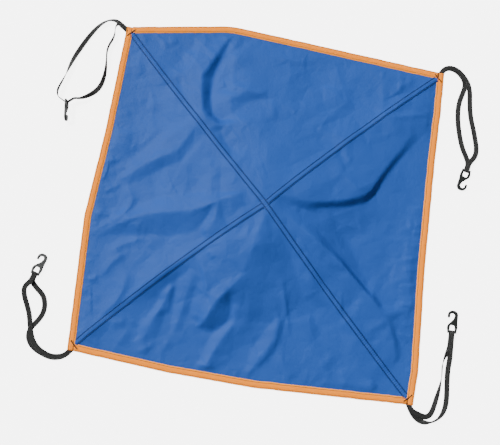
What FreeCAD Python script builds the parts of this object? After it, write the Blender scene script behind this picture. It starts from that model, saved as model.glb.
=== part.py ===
"""Square hook-on fabric panel with four elastic corner loops, each carrying a plastic hook.

Units are millimetres.  +Z is up, and the panel lies loosely on the ground.
The origin is the middle of the bound panel, at the height of the ground.
X runs along the bottom edge, Y from the bottom edge to the top edge.
"""
import FreeCAD, Part
import math
import os
from FreeCAD import Vector

# ---------------------------------------------------------------- driving dimensions
PANEL_SIDE = 480.0            # finished side of the bound square
CLOTH_THICKNESS = 0.4         # panel cloth with its air, as one sheet
EDGE_INSET = 1.6              # raw cloth edge to the outside of the binding
CORNER_TRIM = 12.5            # cloth stops this far from a corner, measured along the edge
CORNER_EASE = 16              # how late the cloth turns away from the seam towards that place

TAPE_WIDTH = 10.3             # folded binding tape, seen from above
TAPE_THICKNESS = 0.4          # one layer of the tape
TAPE_SLOT = 1.7               # room between the two layers of a folded tape
TAPE_BUTT_GAP = 0.2           # between the end of one tape and the side of the next
KINK_RADIUS = 120.0           # where an edge of the loosely laid panel bends

SEAM_WIDTH = 9.0              # diagonal felled seam
SEAM_THICKNESS = 0.8          # its folded layers
SEAM_GAP = 0.25               # between a seam and what it joins
SEAM_CORNER_ROOM = 16.0       # a seam stops this far from the corner
SEAM_SAMPLES = 26             # cross-sections along half a seam
SEAM_FIRST_SAMPLE = 3.0       # first one of the seam that runs through, from the crossing
PANEL_SAMPLES_OUT = 25        # rows of a panel from the crossing to its edge
PANEL_SAMPLES_ACROSS = 33     # and places in each row
TIP_ROOM = 0.3                # panel tips stop this far short of each other

THREAD_WIDTH = 0.5            # one row of stitches
THREAD_THICKNESS = 0.3
THREAD_CLEARANCE = 0.1        # a row of stitches over a curved seam
SEAM_ROW_SPACING = 6.2        # between the two rows on a seam
TAPE_ROW_SPACING = 6.4        # between the two rows on a tape
ROW_END_ROOM = 2.0            # a row on a tape stops this far past the width of the next tape
TACK_LENGTH = 15.0            # bar tack across each corner
TACK_WIDTH = 1.5
TACK_THICKNESS = 0.6

ELASTIC_WIDTH = 7.5
ELASTIC_THICKNESS = 0.8
TAB_DEPTH = 8.0               # sewn end of the elastic inside the binding
TAB_OUT = 2.6                 # and outside it, up to its fold line
TAB_CLEARANCE = 0.1
TAB_LEAD = 5.0                # first straight run of a strand, in line with its tab
FOLD_GAP = 0.9                # between the tab and the free strands, at the fold line
GROUND_GAP = 0.05             # under what lies on the ground

HOOK_THICKNESS = 3.0
HOOK_HALF_WIDTH = 7.3         # eye at its widest
HOOK_FOOT_HALF_WIDTH = 6.2    # eye at the bar
HOOK_WIDEST_AT = 7.0          # from the bar to the widest place
BAR_RADIUS = 1.6              # round bar that the elastic passes round
EYE_HALF_WIDTH = 4.2          # hole beside the bar
EYE_LENGTH = 9.8              # bar centre to the far end of the hole
EYE_CROWN_HALF_WIDTH = 3.2
BEND_RADIUS = 3.4             # inside of the hook's bend
BEND_AT = 22.9                # bar centre to the centre of the bend
BEND_ASIDE = 0.9              # centre of the bend, towards the tip's side
BACK_THICKNESS = 4.4          # hook's back beside the bend
CROWN_THICKNESS = 4.0         # hook's crown above the bend
TIP_THICKNESS = 3.0           # hook's free leg
TIP_DROP = 3.2                # free leg runs this far past the centre of the bend
HOOK_EDGE_CHAMFER = 0.4
BIGHT_CLEARANCE = 0.25        # elastic to the bar
BIGHT_LEG = 3.5               # straight legs of the fold round the bar

DOME_RISE = 27.0              # slack cloth stands highest near the crossing
DOME_REACH = 215.0
EDGE_RISE = 90.0              # the dome fades over this distance from the binding
FOLD_RISE = 26.0              # and single folds over this one
EDGE_FLAT = 12.0              # cloth beside the binding stays level

# ---------------------------------------------------------------- how the panel is laid
# Each corner stands this far from the corner of a true square.
CORNER_SHIFT = {
    "top_left": (2.2, -3.1),
    "top_right": (1.2, -8.3),
    "bottom_right": (6.6, -12.0),
    "bottom_left": (2.0, -6.5),
}
# Bends of each edge: place along it, from -1 to 1, and how far it stands out.
EDGE_BENDS = {
    "top": [(-0.341, 20.5), (0.093, 11.5)],
    "right": [(0.730, 2.1), (0.410, 1.1), (-0.265, 3.1), (-0.852, 9.1)],
    "bottom": [(0.110, 20.5), (-0.391, 17.2)],
    "left": [(-0.235, 9.1), (0.296, 1.5)],
}
EDGE_ENDS = {
    "top": ("top_left", "top_right"),
    "right": ("top_right", "bottom_right"),
    "bottom": ("bottom_right", "bottom_left"),
    "left": ("bottom_left", "top_left"),
}
CORNER_SIGN = {
    "top_left": (-1.0, 1.0),
    "top_right": (1.0, 1.0),
    "bottom_right": (1.0, -1.0),
    "bottom_left": (-1.0, -1.0),
}
CROSSING = (0.025, -0.027)    # where the seams cross, in half sides
SEAM_BOW = {"top_left": 1.5, "top_right": 4.5, "bottom_right": -2.0, "bottom_left": -6.0}

# Folds of the slack cloth.  Points are in half sides; then the height, the width of the
# slope on the left of the travel along the points, and the width of the slope on its right.
FOLDS = [
    ([(-0.33, 1.04), (-0.38, 0.93), (-0.45, 0.72), (-0.42, 0.48)], 6.0, 9.0, 34.0),
    ([(-0.31, 1.04), (-0.36, 0.91), (-0.40, 0.72), (-0.36, 0.49)], -8.0, 22.0, 11.0),
    ([(0.88, 0.55), (0.68, 0.22), (0.59, 0.12), (0.40, 0.04), (0.14, 0.02)], 9.0, 9.0, 55.0),
    ([(0.11, -0.06), (0.30, -0.20), (0.49, -0.33), (0.68, -0.47), (0.84, -0.61)], 9.0, 24.0, 34.0),
    ([(0.84, -0.58), (0.90, -0.70), (0.89, -0.84)], 5.0, 9.0, 16.0),
    ([(0.00, -0.08), (-0.08, -0.30), (-0.17, -0.54)], 7.0, 55.0, 30.0),
    ([(-0.07, -0.75), (-0.17, -0.89), (-0.25, -1.02)], 6.0, 9.0, 16.0),
    ([(0.18, -0.68), (0.11, -0.84), (0.05, -1.02)], 6.0, 9.0, 18.0),
    ([(-0.33, -0.50), (-0.38, -0.67), (-0.42, -0.84)], 5.0, 9.0, 14.0),
    ([(-0.45, -0.58), (-0.53, -0.76), (-0.60, -0.93)], 5.0, 9.0, 16.0),
    ([(-0.93, -0.31), (-0.64, -0.16), (-0.30, -0.06), (-0.12, 0.00)], 8.0, 28.0, 20.0),
    ([(-0.94, -0.39), (-0.66, -0.35), (-0.48, -0.35)], 4.0, 9.0, 22.0),
    ([(-0.86, 0.03), (-0.68, 0.15), (-0.53, 0.25), (-0.46, 0.42)], 4.0, 24.0, 11.0),
    ([(-0.34, -0.42), (-0.48, -0.54), (-0.61, -0.70)], 6.0, 9.0, 28.0),
]

# ---------------------------------------------------------------- how the loops are laid
# The two strands of each elastic, from the corner to the hook: x, y from the place where
# the elastic leaves the binding, how far its underside is off the ground, and its roll in
# degrees (0 lies flat, 90 stands on edge).
STACKED = ELASTIC_THICKNESS + 0.35
BAR_HEIGHT = GROUND_GAP + ELASTIC_THICKNESS + BIGHT_CLEARANCE + BAR_RADIUS
UPRIGHT_BAR_HEIGHT = HOOK_HALF_WIDTH + GROUND_GAP

LOOPS = {
    "top_right": {
        "exit": (-4.6, 0.4),
        "heading": 60.0,
        "bar": (50.5, -143.5),
        "hook_heading": -101.0,
        "upright": False,
        "over": "second",
        "first": [
            (13.0, 9.6, 0, 0), (22.5, 6.6, 0, 0), (31.0, -0.6, 0, 0),
            (36.6, -10.4, 0, 0), (36.2, -21.0, 0, 0), (32.6, -32.6, 0, 0), (30.2, -45.0, 0, 0),
            (30.2, -60.0, 0, 0), (32.6, -77.0, 0, 0), (36.8, -95.0, 0, 0), (42.2, -111.0, 0, 0),
            (48.6, -122.5, 0, 0),
        ],
        "second": [
            (13.4, 10.4, STACKED, 0), (23.6, 7.4, STACKED, 0),
            (32.6, -0.2, STACKED, 0), (40.6, -10.8, STACKED, 0), (44.6, -22.4, 0, 0),
            (45.8, -36.0, 0, 0), (47.4, -51.0, 0, 0), (50.6, -66.0, 0, 0), (55.6, -81.0, 0, 0),
            (59.4, -95.5, 0, 0), (62.6, -108.5, 0, 0), (61.0, -121.0, 2.2, 0),
        ],
    },
    "bottom_right": {
        "exit": (-6.2, 0.2),
        "heading": -60.0,
        "bar": (48.4, 106.8),
        "hook_heading": 90.0,
        "upright": False,
        "over": "first",
        "first": [
            (8.4, -13.2, 0, 0), (14.8, -18.2, 0, 0), (23.0, -20.6, 0, 0), (31.6, -19.4, 0, 0),
            (40.6, -14.0, 0, 0), (47.6, -4.6, 0, 0), (50.8, 7.4, 0, 0), (50.6, 22.0, 0, 0),
            (49.2, 38.6, 0, 0), (48.6, 55.0, 0, 0), (49.6, 69.0, 1.6, 0), (48.9, 82.0, 3.2, 0),
        ],
        "second": [
            (13.0, -10.4, STACKED, 0), (23.6, -13.6, STACKED, 0),
            (30.4, -9.6, STACKED, 0), (34.0, 0.0, 0, 0), (36.6, 13.6, 0, 0), (39.2, 29.0, 0, 0),
            (40.6, 44.6, 0, 0), (39.6, 59.0, 0, 0), (41.8, 71.5, 0, 0), (48.0, 82.0, 0, 0),
        ],
    },
    "bottom_left": {
        "exit": (4.4, -0.2),
        "heading": -128.0,
        "bar": (-68.4, 98.6),
        "hook_heading": 75.0,
        "upright": False,
        "over": "second",
        "first": [
            (-13.4, -11.4, 0, 0), (-25.0, -13.0, 0, 0), (-37.0, -9.8, 0, 0),
            (-47.6, -5.4, 0, 0), (-56.4, 1.2, 0, 0), (-62.0, 11.4, 0, 0), (-60.4, 23.4, 0, 0),
            (-52.4, 33.6, 0, 0), (-46.8, 45.0, 0, 0), (-46.4, 58.0, 0, 0), (-51.5, 70.5, 0, 0),
            (-63.0, 79.0, 0, 0),
        ],
        "second": [
            (-13.0, -10.4, STACKED, 0), (-24.6, -11.8, STACKED, 0),
            (-36.4, -8.0, STACKED, 0), (-46.0, -2.6, STACKED, 0), (-53.6, 5.8, STACKED, 0),
            (-58.8, 17.0, STACKED, 0), (-62.4, 30.0, STACKED, 0), (-66.4, 43.0, 0, 0),
            (-72.6, 55.4, 0, 0), (-78.4, 67.0, 0.4, 0), (-80.2, 78.0, 2.2, 0),
        ],
    },
    "top_left": {
        "exit": (-0.4, -4.2),
        "heading": 143.0,
        "bar": (-65.4, -125.0),
        "hook_heading": -82.0,
        "upright": True,
        "over": "second",
        "first": [
            (-16.0, 11.4, 0, 30), (-27.6, 10.0, 0, 50), (-38.4, 2.2, 0, 35),
            (-47.8, -10.4, 0, 15), (-55.6, -24.4, 0, 5), (-62.6, -39.6, 0, 0),
            (-68.6, -55.0, 0, 15), (-72.4, -70.0, 0, 40), (-75.2, -84.0, 0, 70),
            (-79.2, -97.4, 1.0, 85), (-82.6, -109.6, 2.4, 90), (-80.4, -119.0, 3.4, 90),
        ],
        "second": [
            (-12.6, 6.0, STACKED, 30), (-15.8, -1.2, 0.6, 70), (-14.6, -9.8, 0, 85),
            (-16.0, -19.2, 0, 90), (-20.2, -28.8, 0, 90), (-21.8, -40.0, 0, 90),
            (-19.8, -53.0, 0, 90), (-18.2, -67.0, 0, 90), (-18.6, -81.0, 0, 90),
            (-21.4, -94.0, 0, 90), (-28.0, -104.6, 0.8, 85), (-37.0, -112.8, 2.0, 85),
            (-47.4, -118.6, 3.2, 90),
        ],
    },
}
UPRIGHT_SPREAD = 55.0         # legs round an upright bar open by this much each side
BIGHT_LEAD = 8.0              # last straight run into a leg
ARC_STEP = 12.0               # degrees of turn or roll between two sections of a strand
RUN_SHARE = 0.45              # share of a run that its corner arc may take


# ---------------------------------------------------------------- plan of the laid panel
def square_corner(name):
    sign = CORNER_SIGN[name]
    shift = CORNER_SHIFT[name]
    return Vector(0.5 * PANEL_SIDE * sign[0] + shift[0], 0.5 * PANEL_SIDE * sign[1] + shift[1], 0)


def edge_points(edge):
    """Corner, bends and corner of one edge, in clockwise order."""
    start, end = EDGE_ENDS[edge]
    points = [square_corner(start)]
    half = 0.5 * PANEL_SIDE
    for along, out in EDGE_BENDS[edge]:
        if edge == "top":
            points.append(Vector(along * half, half + out, 0))
        if edge == "bottom":
            points.append(Vector(along * half, -half - out, 0))
        if edge == "right":
            points.append(Vector(half + out, along * half, 0))
        if edge == "left":
            points.append(Vector(-half - out, along * half, 0))
    points.append(square_corner(end))
    return points


def left_normal(direction):
    return Vector(-direction.y, direction.x, 0)


def rounded_path(points, radius_at, offset=0.0):
    """Edges of straight runs joined by tangent arcs, moved sideways by offset (left is +)."""
    edges = []
    last = points[0] + left_normal((points[1] - points[0]).normalize()) * offset
    for before, here, after in zip(points, points[1:], points[2:]):
        way_in = (here - before).normalize()
        way_out = (after - here).normalize()
        turn = math.acos(max(-1.0, min(1.0, way_in.dot(way_out))))
        side = 1.0 if way_in.cross(way_out).z > 0 else -1.0
        radius = radius_at(here, before, after, turn)
        reach = radius * math.tan(0.5 * turn)
        centre = here - way_in * reach + left_normal(way_in) * (side * radius)
        own = radius - side * offset
        begin = centre - left_normal(way_in) * (side * own)
        end = centre - left_normal(way_out) * (side * own)
        middle = centre - (left_normal(way_in) + left_normal(way_out)).normalize() * (side * own)
        edges.append(Part.LineSegment(last, begin).toShape())
        edges.append(Part.Arc(begin, middle, end).toShape())
        last = end
    finish = points[-1] + left_normal((points[-1] - points[-2]).normalize()) * offset
    edges.append(Part.LineSegment(last, finish).toShape())
    return edges


def kink_radius(here, before, after, turn):
    shorter = min((here - before).Length, (after - here).Length)
    return min(KINK_RADIUS, RUN_SHARE * shorter / math.tan(0.5 * turn))


def outline_box():
    edges = []
    for edge in EDGE_ENDS:
        edges += rounded_path(edge_points(edge), kink_radius)
    return Part.Compound(edges).BoundBox


LAY_CENTRE = Vector(outline_box().Center.x, outline_box().Center.y, 0)
CORNERS = {name: square_corner(name) - LAY_CENTRE for name in CORNER_SIGN}
EDGES = {edge: [point - LAY_CENTRE for point in edge_points(edge)] for edge in EDGE_ENDS}
CROSS = Vector(CROSSING[0] * 0.5 * PANEL_SIDE, CROSSING[1] * 0.5 * PANEL_SIDE, 0)
TAPE_TOP = 2 * TAPE_THICKNESS + TAPE_SLOT
CLOTH_LEVEL = TAPE_THICKNESS + 0.5 * (TAPE_SLOT - SEAM_THICKNESS)


# ---------------------------------------------------------------- heights of the slack cloth
def smooth(value):
    value = max(0.0, min(1.0, value))
    return value * value * (3.0 - 2.0 * value)


def along_polyline(point, points):
    """Distance, signed side (left is +) and share of the length at the nearest place."""
    total = sum((b - a).Length for a, b in zip(points, points[1:]))
    best = None
    walked = 0.0
    for a, b in zip(points, points[1:]):
        run = b - a
        share = max(0.0, min(1.0, (point - a).dot(run) / run.dot(run)))
        gap = point - (a + run * share)
        side = 1.0 if run.cross(point - a).z >= 0 else -1.0
        if best is None or gap.Length < best[0]:
            best = (gap.Length, side, (walked + share * run.Length) / total)
        walked += run.Length
    return best


def fold_height(point, fold):
    points, height, left_width, right_width = fold
    half = 0.5 * PANEL_SIDE
    distance, side, share = along_polyline(point, [Vector(x * half, y * half, 0) for x, y in points])
    width = left_width if side > 0 else right_width
    ends = smooth(share / 0.25) * smooth((1.0 - share) / 0.25)
    return height * ends * math.exp(-((distance / width) ** 2))


def cloth_height(x, y):
    """Underside of the cloth at one place of the plan."""
    point = Vector(x, y, 0)
    room = min(along_polyline(point, EDGES[edge])[0] for edge in EDGES) - TAPE_WIDTH - EDGE_FLAT
    reach = min(1.0, (point - CROSS).Length / DOME_REACH)
    dome = DOME_RISE * 0.5 * (1.0 + math.cos(math.pi * reach))
    folds = sum(fold_height(point, fold) for fold in FOLDS)
    height = dome * smooth(room / EDGE_RISE) + folds * smooth(room / FOLD_RISE)
    return CLOTH_LEVEL + max(0.0, height)


# ---------------------------------------------------------------- cloth, seams and binding
def sheet_from_poles(rows, thickness):
    """A sheet of even height over a grid of poles, cubic both ways where the grid allows."""
    degree_u = min(3, len(rows) - 1)
    degree_v = min(3, len(rows[0]) - 1)
    knots_u = [float(i) for i in range(len(rows) - degree_u + 1)]
    knots_v = [float(i) for i in range(len(rows[0]) - degree_v + 1)]
    mults_u = [degree_u + 1] + [1] * (len(knots_u) - 2) + [degree_u + 1]
    mults_v = [degree_v + 1] + [1] * (len(knots_v) - 2) + [degree_v + 1]
    surface = Part.BSplineSurface()
    surface.buildFromPolesMultsKnots(rows, mults_u, mults_v, knots_u, knots_v,
                                     False, False, degree_u, degree_v)
    return surface.toShape().extrude(Vector(0, 0, thickness))


def seam_plan(corner, share, aside):
    """A place on the seam from the crossing to a corner: share of the way, distance to its left."""
    run = CORNERS[corner] - CROSS
    direction = Vector(run).normalize()
    bow = SEAM_BOW[corner] * 4.0 * share * (1.0 - share)
    return CROSS + run * share + left_normal(direction) * (bow + aside)


def seam_point(corner, share, aside, lift=0.0):
    """The same place in space; a seam is straight from its left edge to its right edge."""
    half = 0.5 * SEAM_WIDTH
    left = seam_plan(corner, share, half)
    right = seam_plan(corner, share, -half)
    mix = 0.5 + 0.5 * aside / half
    level = mix * cloth_height(left.x, left.y) + (1.0 - mix) * cloth_height(right.x, right.y)
    place = seam_plan(corner, share, aside)
    return Vector(place.x, place.y, level + lift)


def spread(first, last, count):
    return [first + (last - first) * i / (count - 1) for i in range(count)]


def seam_end_share(corner):
    return 1.0 - SEAM_CORNER_ROOM / (CORNERS[corner] - CROSS).Length


def seam_strip(corners, left, right, lift, thickness, start):
    """A strip along one half seam, or along both halves of the seam that runs through."""
    rows = []
    if len(corners) == 2:
        for share in reversed(spread(start, seam_end_share(corners[1]), SEAM_SAMPLES)):
            rows.append([seam_point(corners[1], share, -left, lift),
                         seam_point(corners[1], share, -right, lift)])
    for share in spread(start, seam_end_share(corners[0]), SEAM_SAMPLES):
        rows.append([seam_point(corners[0], share, left, lift),
                     seam_point(corners[0], share, right, lift)])
    return sheet_from_poles(rows, thickness)


def seam_start(corner, distance):
    return distance / (CORNERS[corner] - CROSS).Length


def diagonal_seams():
    """The seam that runs through and the two halves that end against it, with their stitches."""
    half = 0.5 * SEAM_WIDTH
    butt = half + SEAM_GAP
    thread_lift = SEAM_THICKNESS + THREAD_CLEARANCE
    made = {}
    for name, corners, near in (("main", ("top_left", "bottom_right"), SEAM_FIRST_SAMPLE),
                                ("left", ("bottom_left",), butt),
                                ("right", ("top_right",), butt)):
        start = seam_start(corners[0], near)
        made["seam_" + name] = seam_strip(corners, half, -half, 0.0, SEAM_THICKNESS, start)
        rows = []
        for side in (-1.0, 1.0):
            middle = 0.5 * side * SEAM_ROW_SPACING
            rows.append(seam_strip(corners, middle + 0.5 * THREAD_WIDTH, middle - 0.5 * THREAD_WIDTH,
                                   thread_lift, THREAD_THICKNESS, start))
        made["seam_" + name + "_stitches"] = Part.Compound(rows)
    return made


def inset_edge(edge):
    """The raw cloth edge inside the binding, as one wire from corner to corner."""
    return Part.Wire(rounded_path(EDGES[edge], kink_radius, -EDGE_INSET))


def place_on_wire(wire, distance):
    for edge in wire.OrderedEdges:
        if distance <= edge.Length:
            return edge.valueAt(edge.getParameterByLength(distance))
        distance -= edge.Length
    return wire.OrderedEdges[-1].valueAt(wire.OrderedEdges[-1].LastParameter)


def cloth_panel(edge):
    """One triangular panel, from its cut tip at the crossing to the edge inside the binding."""
    start, end = EDGE_ENDS[edge]
    wire = inset_edge(edge)
    rim = [place_on_wire(wire, d)
           for d in spread(CORNER_TRIM, wire.Length - CORNER_TRIM, PANEL_SAMPLES_ACROSS)]
    beside = 0.5 * SEAM_WIDTH + SEAM_GAP
    tip = beside + TIP_ROOM
    rows = []
    for out in spread(0.0, 1.0, PANEL_SAMPLES_OUT):
        first = seam_plan(start, seam_start(start, tip) * (1.0 - out) + out, -beside)
        last = seam_plan(end, seam_start(end, tip) * (1.0 - out) + out, beside)
        full_first = seam_plan(start, 1.0, -beside)
        full_last = seam_plan(end, 1.0, beside)
        row = []
        for i in range(PANEL_SAMPLES_ACROSS):
            across = i / (PANEL_SAMPLES_ACROSS - 1)
            chord = rim[0] + (rim[-1] - rim[0]) * across
            place = first + (last - first) * across
            place += (rim[i] - chord) * out
            place += (chord - full_first - (full_last - full_first) * across) * out ** CORNER_EASE
            row.append(Vector(place.x, place.y, cloth_height(place.x, place.y)))
        rows.append(row)
    return sheet_from_poles(rows, CLOTH_THICKNESS)


def band(points, outer, inner, low, high):
    """A level band beside a path, between two distances to its right."""
    left = Part.Wire(rounded_path(points, kink_radius, -outer))
    right = Part.Wire(rounded_path(points, kink_radius, -inner))
    starts = Part.LineSegment(left.OrderedVertexes[0].Point, right.OrderedVertexes[0].Point)
    ends = Part.LineSegment(left.OrderedVertexes[-1].Point, right.OrderedVertexes[-1].Point)
    wire = Part.Wire(Part.__sortEdges__(left.Edges + right.Edges + [starts.toShape(), ends.toShape()]))
    face = Part.Face(wire)
    face.translate(Vector(0, 0, low))
    return face.extrude(Vector(0, 0, high - low))


def longer(points, extra):
    first = points[0] + (points[0] - points[1]).normalize() * extra
    last = points[-1] + (points[-1] - points[-2]).normalize() * extra
    return [first] + points[1:-1] + [last]


def binding(edge, notches):
    """Folded tape over one edge.  Left and right tapes run the full height."""
    points = EDGES[edge]
    if edge in ("top", "bottom"):
        points = longer(points, TAPE_WIDTH)
    tape = band(points, 0.0, TAPE_WIDTH, 0.0, TAPE_TOP)
    room = band(longer(points, 1.0), TAPE_THICKNESS, TAPE_WIDTH + 1.0,
                TAPE_THICKNESS, TAPE_THICKNESS + TAPE_SLOT)
    tape = tape.cut(room)
    if edge in ("top", "bottom"):
        for side in ("left", "right"):
            zone = band(longer(EDGES[side], 2 * TAPE_WIDTH), -4 * TAPE_WIDTH,
                        TAPE_WIDTH + TAPE_BUTT_GAP, -1.0, TAPE_TOP + 1.0)
            tape = tape.cut(zone)
    for notch in notches:
        tape = tape.cut(notch)
    return tape


def binding_stitches(edge):
    """Two rows of stitches on the top layer of a tape, from bar tack to bar tack."""
    rows = []
    points = longer(EDGES[edge], -(TAPE_WIDTH + ROW_END_ROOM))
    for side in (-1.0, 1.0):
        middle = 0.5 * TAPE_WIDTH + 0.5 * side * TAPE_ROW_SPACING
        rows.append(band(points, middle - 0.5 * THREAD_WIDTH, middle + 0.5 * THREAD_WIDTH,
                         TAPE_TOP, TAPE_TOP + THREAD_THICKNESS))
    return rows


def bar_tack(corner):
    """Dense stitches across the corner, over the ends of both tapes."""
    inward = (CROSS - CORNERS[corner]).normalize()
    middle = CORNERS[corner] + inward * (TAPE_WIDTH * math.sqrt(2.0) - 0.5 * TACK_WIDTH - 1.6)
    tack = Part.makeBox(TACK_WIDTH, TACK_LENGTH, TACK_THICKNESS,
                        Vector(-0.5 * TACK_WIDTH, -0.5 * TACK_LENGTH, 0))
    tack.rotate(Vector(0, 0, 0), Vector(0, 0, 1), math.degrees(math.atan2(inward.y, inward.x)))
    tack.translate(middle + Vector(0, 0, TAPE_TOP))
    return tack


# ---------------------------------------------------------------- elastic loops
def heading_vector(degrees):
    return Vector(math.cos(math.radians(degrees)), math.sin(math.radians(degrees)), 0)


def exit_place(corner):
    shift = LOOPS[corner]["exit"]
    return CORNERS[corner] + Vector(shift[0], shift[1], 0)


def tab_height():
    return TAPE_SLOT - 2 * TAB_CLEARANCE


def tab_block(corner, grow, inside, outside):
    """A block round the sewn end of the elastic, from inside the binding to outside it."""
    width = ELASTIC_WIDTH + 2 * grow
    height = tab_height() + 2 * grow
    block = Part.makeBox(inside + outside, width, height, Vector(-inside, -0.5 * width, 0))
    block.rotate(Vector(0, 0, 0), Vector(0, 0, 1), LOOPS[corner]["heading"])
    block.translate(exit_place(corner) + Vector(0, 0, TAPE_THICKNESS + TAB_CLEARANCE - grow))
    return block


def elastic_tab(corner):
    """The two sewn ends of the elastic, one on the other, up to the fold line."""
    block = tab_block(corner, 0.0, TAB_DEPTH, TAB_OUT)
    across = left_normal(heading_vector(LOOPS[corner]["heading"]))
    far = exit_place(corner) + heading_vector(LOOPS[corner]["heading"]) * TAB_OUT
    rounded = [edge for edge in block.Edges
               if abs((edge.CenterOfMass - far).dot(heading_vector(LOOPS[corner]["heading"]))) < 0.01
               and abs((edge.lastVertex().Point - edge.firstVertex().Point).dot(across)) > 1.0]
    return block.makeFillet(0.4 * tab_height(), rounded)


def rolled_run(frames, place, direction, roll):
    """Sections along a straight run, close enough together where the strand rolls over."""
    last_place, _, last_roll = frames[-1]
    steps = max(1, int(math.ceil(abs(roll - last_roll) / ARC_STEP)))
    for i in range(1, steps + 1):
        share = i / steps
        frames.append((last_place + (place - last_place) * share, direction,
                       last_roll + (roll - last_roll) * share))


def route_frames(points):
    """Places, directions and rolls along straight runs joined by tangent arcs."""
    frames = [(points[0][0], (points[1][0] - points[0][0]).normalize(), points[0][1])]
    radii = []
    length = 0.0
    last = points[0][0]
    for (before, _), (here, roll), (after, _) in zip(points, points[1:], points[2:]):
        way_in = (here - before).normalize()
        way_out = (after - here).normalize()
        turn = math.acos(max(-1.0, min(1.0, way_in.dot(way_out))))
        reach = RUN_SHARE * min((here - before).Length, (after - here).Length)
        radius = reach / math.tan(0.5 * turn)
        radii.append(radius)
        axis = way_in.cross(way_out).normalize()
        begin = here - way_in * reach
        centre = begin + axis.cross(way_in) * radius
        length += (begin - last).Length + radius * turn
        rolled_run(frames, begin, way_in, roll)
        steps = max(2, int(math.ceil(math.degrees(turn) / ARC_STEP)))
        for i in range(1, steps + 1):
            spin = FreeCAD.Rotation(axis, math.degrees(turn) * i / steps)
            frames.append((centre + spin.multVec(begin - centre), spin.multVec(way_in), roll))
        last = here + way_out * reach
    rolled_run(frames, points[-1][0], (points[-1][0] - points[-2][0]).normalize(), points[-1][1])
    length += (points[-1][0] - last).Length
    return frames, radii, length


def section(place, direction, roll):
    """The corners of the strand's cross-section, raised where it would sink into the ground."""
    level = Vector(-direction.y, direction.x, 0).normalize()
    raised = direction.cross(level)
    wide = level * math.cos(math.radians(roll)) + raised * math.sin(math.radians(roll))
    thin = direction.cross(wide)
    corners = [place + wide * (0.5 * ELASTIC_WIDTH * a) + thin * (0.5 * ELASTIC_THICKNESS * b)
               for a, b in ((-1, -1), (1, -1), (1, 1), (-1, 1))]
    sunk = max(0.0, GROUND_GAP - min(corner.z for corner in corners))
    return [corner + Vector(0, 0, sunk) for corner in corners]


def strand(points):
    """A flat strand along its route."""
    frames, radii, length = route_frames(points)
    sections = [section(place, direction, roll) for place, direction, roll in frames]
    wires = [Part.makePolygon(corners + corners[:1]) for corners in sections]
    return Part.makeLoft(wires, True, True), radii, length


def bar_place(corner):
    loop = LOOPS[corner]
    height = UPRIGHT_BAR_HEIGHT if loop["upright"] else BAR_HEIGHT
    return exit_place(corner) + Vector(loop["bar"][0], loop["bar"][1], height)


def bight_radius():
    return BAR_RADIUS + BIGHT_CLEARANCE + 0.5 * ELASTIC_THICKNESS


def leg_angle(corner):
    """Turn of the elastic round the bar, from the middle of the bight to one leg."""
    return math.radians(90.0 - (UPRIGHT_SPREAD if LOOPS[corner]["upright"] else 0.0))


def leg(corner, side):
    """End of one leg of the bight, and the direction in which its strand goes on from there."""
    angle = leg_angle(corner)
    ahead = heading_vector(LOOPS[corner]["hook_heading"])
    aside = left_normal(ahead) if LOOPS[corner]["upright"] else Vector(0, 0, 1)
    away = ahead * -math.sin(angle) + aside * (side * math.cos(angle))
    foot = (ahead * math.cos(angle) + aside * (side * math.sin(angle))) * bight_radius()
    return bar_place(corner) + foot + away * BIGHT_LEG, away


def strand_level(lift, roll):
    """Height of a strand's middle when its underside is lifted off the ground."""
    wide = ELASTIC_WIDTH * math.sin(math.radians(roll))
    thin = ELASTIC_THICKNESS * math.cos(math.radians(roll))
    return GROUND_GAP + 0.5 * (wide + thin) + lift


def strand_route(corner, key):
    """Points and rolls of one strand, from the fold line at the corner to its leg."""
    loop = LOOPS[corner]
    ahead = heading_vector(loop["heading"])
    start = exit_place(corner) + ahead * (TAB_OUT + FOLD_GAP)
    start.z = strand_level(STACKED if key == "second" else 0.0, 0)
    route = [(start, 0), (start + ahead * TAB_LEAD, 0)]
    for x, y, lift, roll in loop[key]:
        route.append((exit_place(corner) + Vector(x, y, strand_level(lift, roll)), roll))
    end, away = leg(corner, 1.0 if key == loop["over"] else -1.0)
    roll_end = 90 if loop["upright"] else 0
    route.append((end + away * BIGHT_LEAD, roll_end))
    route.append((end, roll_end))
    return route


def elastic_strands(corner):
    """Both free strands, from the fold line at the corner to the legs of the bight."""
    solids = []
    for key in ("first", "second"):
        solid, radii, length = strand(strand_route(corner, key))
        solids.append(solid)
        expected = ELASTIC_WIDTH * ELASTIC_THICKNESS * length
        print(corner, key, "length %.1f" % length, "radii", " ".join("%.0f" % r for r in radii),
              "volume ratio %.3f" % (solid.Volume / expected))
    return Part.Compound(solids)


def elastic_bight(corner):
    """The fold of the elastic round the hook's bar, with two short straight legs."""
    angle = math.degrees(leg_angle(corner))
    inner = BAR_RADIUS + BIGHT_CLEARANCE
    outer = inner + ELASTIC_THICKNESS
    low = Vector(0, 0, -0.5 * ELASTIC_WIDTH)
    up = Vector(0, 0, 1)
    bend = Part.makeCylinder(outer, ELASTIC_WIDTH, low, up, 2 * angle)
    bend = bend.cut(Part.makeCylinder(inner, ELASTIC_WIDTH, low, up))
    bend.rotate(Vector(0, 0, 0), up, -angle)
    for side in (-1.0, 1.0):
        piece = Part.makeBox(BIGHT_LEG, ELASTIC_THICKNESS, ELASTIC_WIDTH,
                             Vector(-BIGHT_LEG, inner if side > 0 else -outer, low.z))
        piece.rotate(Vector(0, 0, 0), up, side * (angle - 90.0))
        bend = bend.fuse(piece)
    return place_on_bar(bend.removeSplitter(), corner, 0.0)


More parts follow.
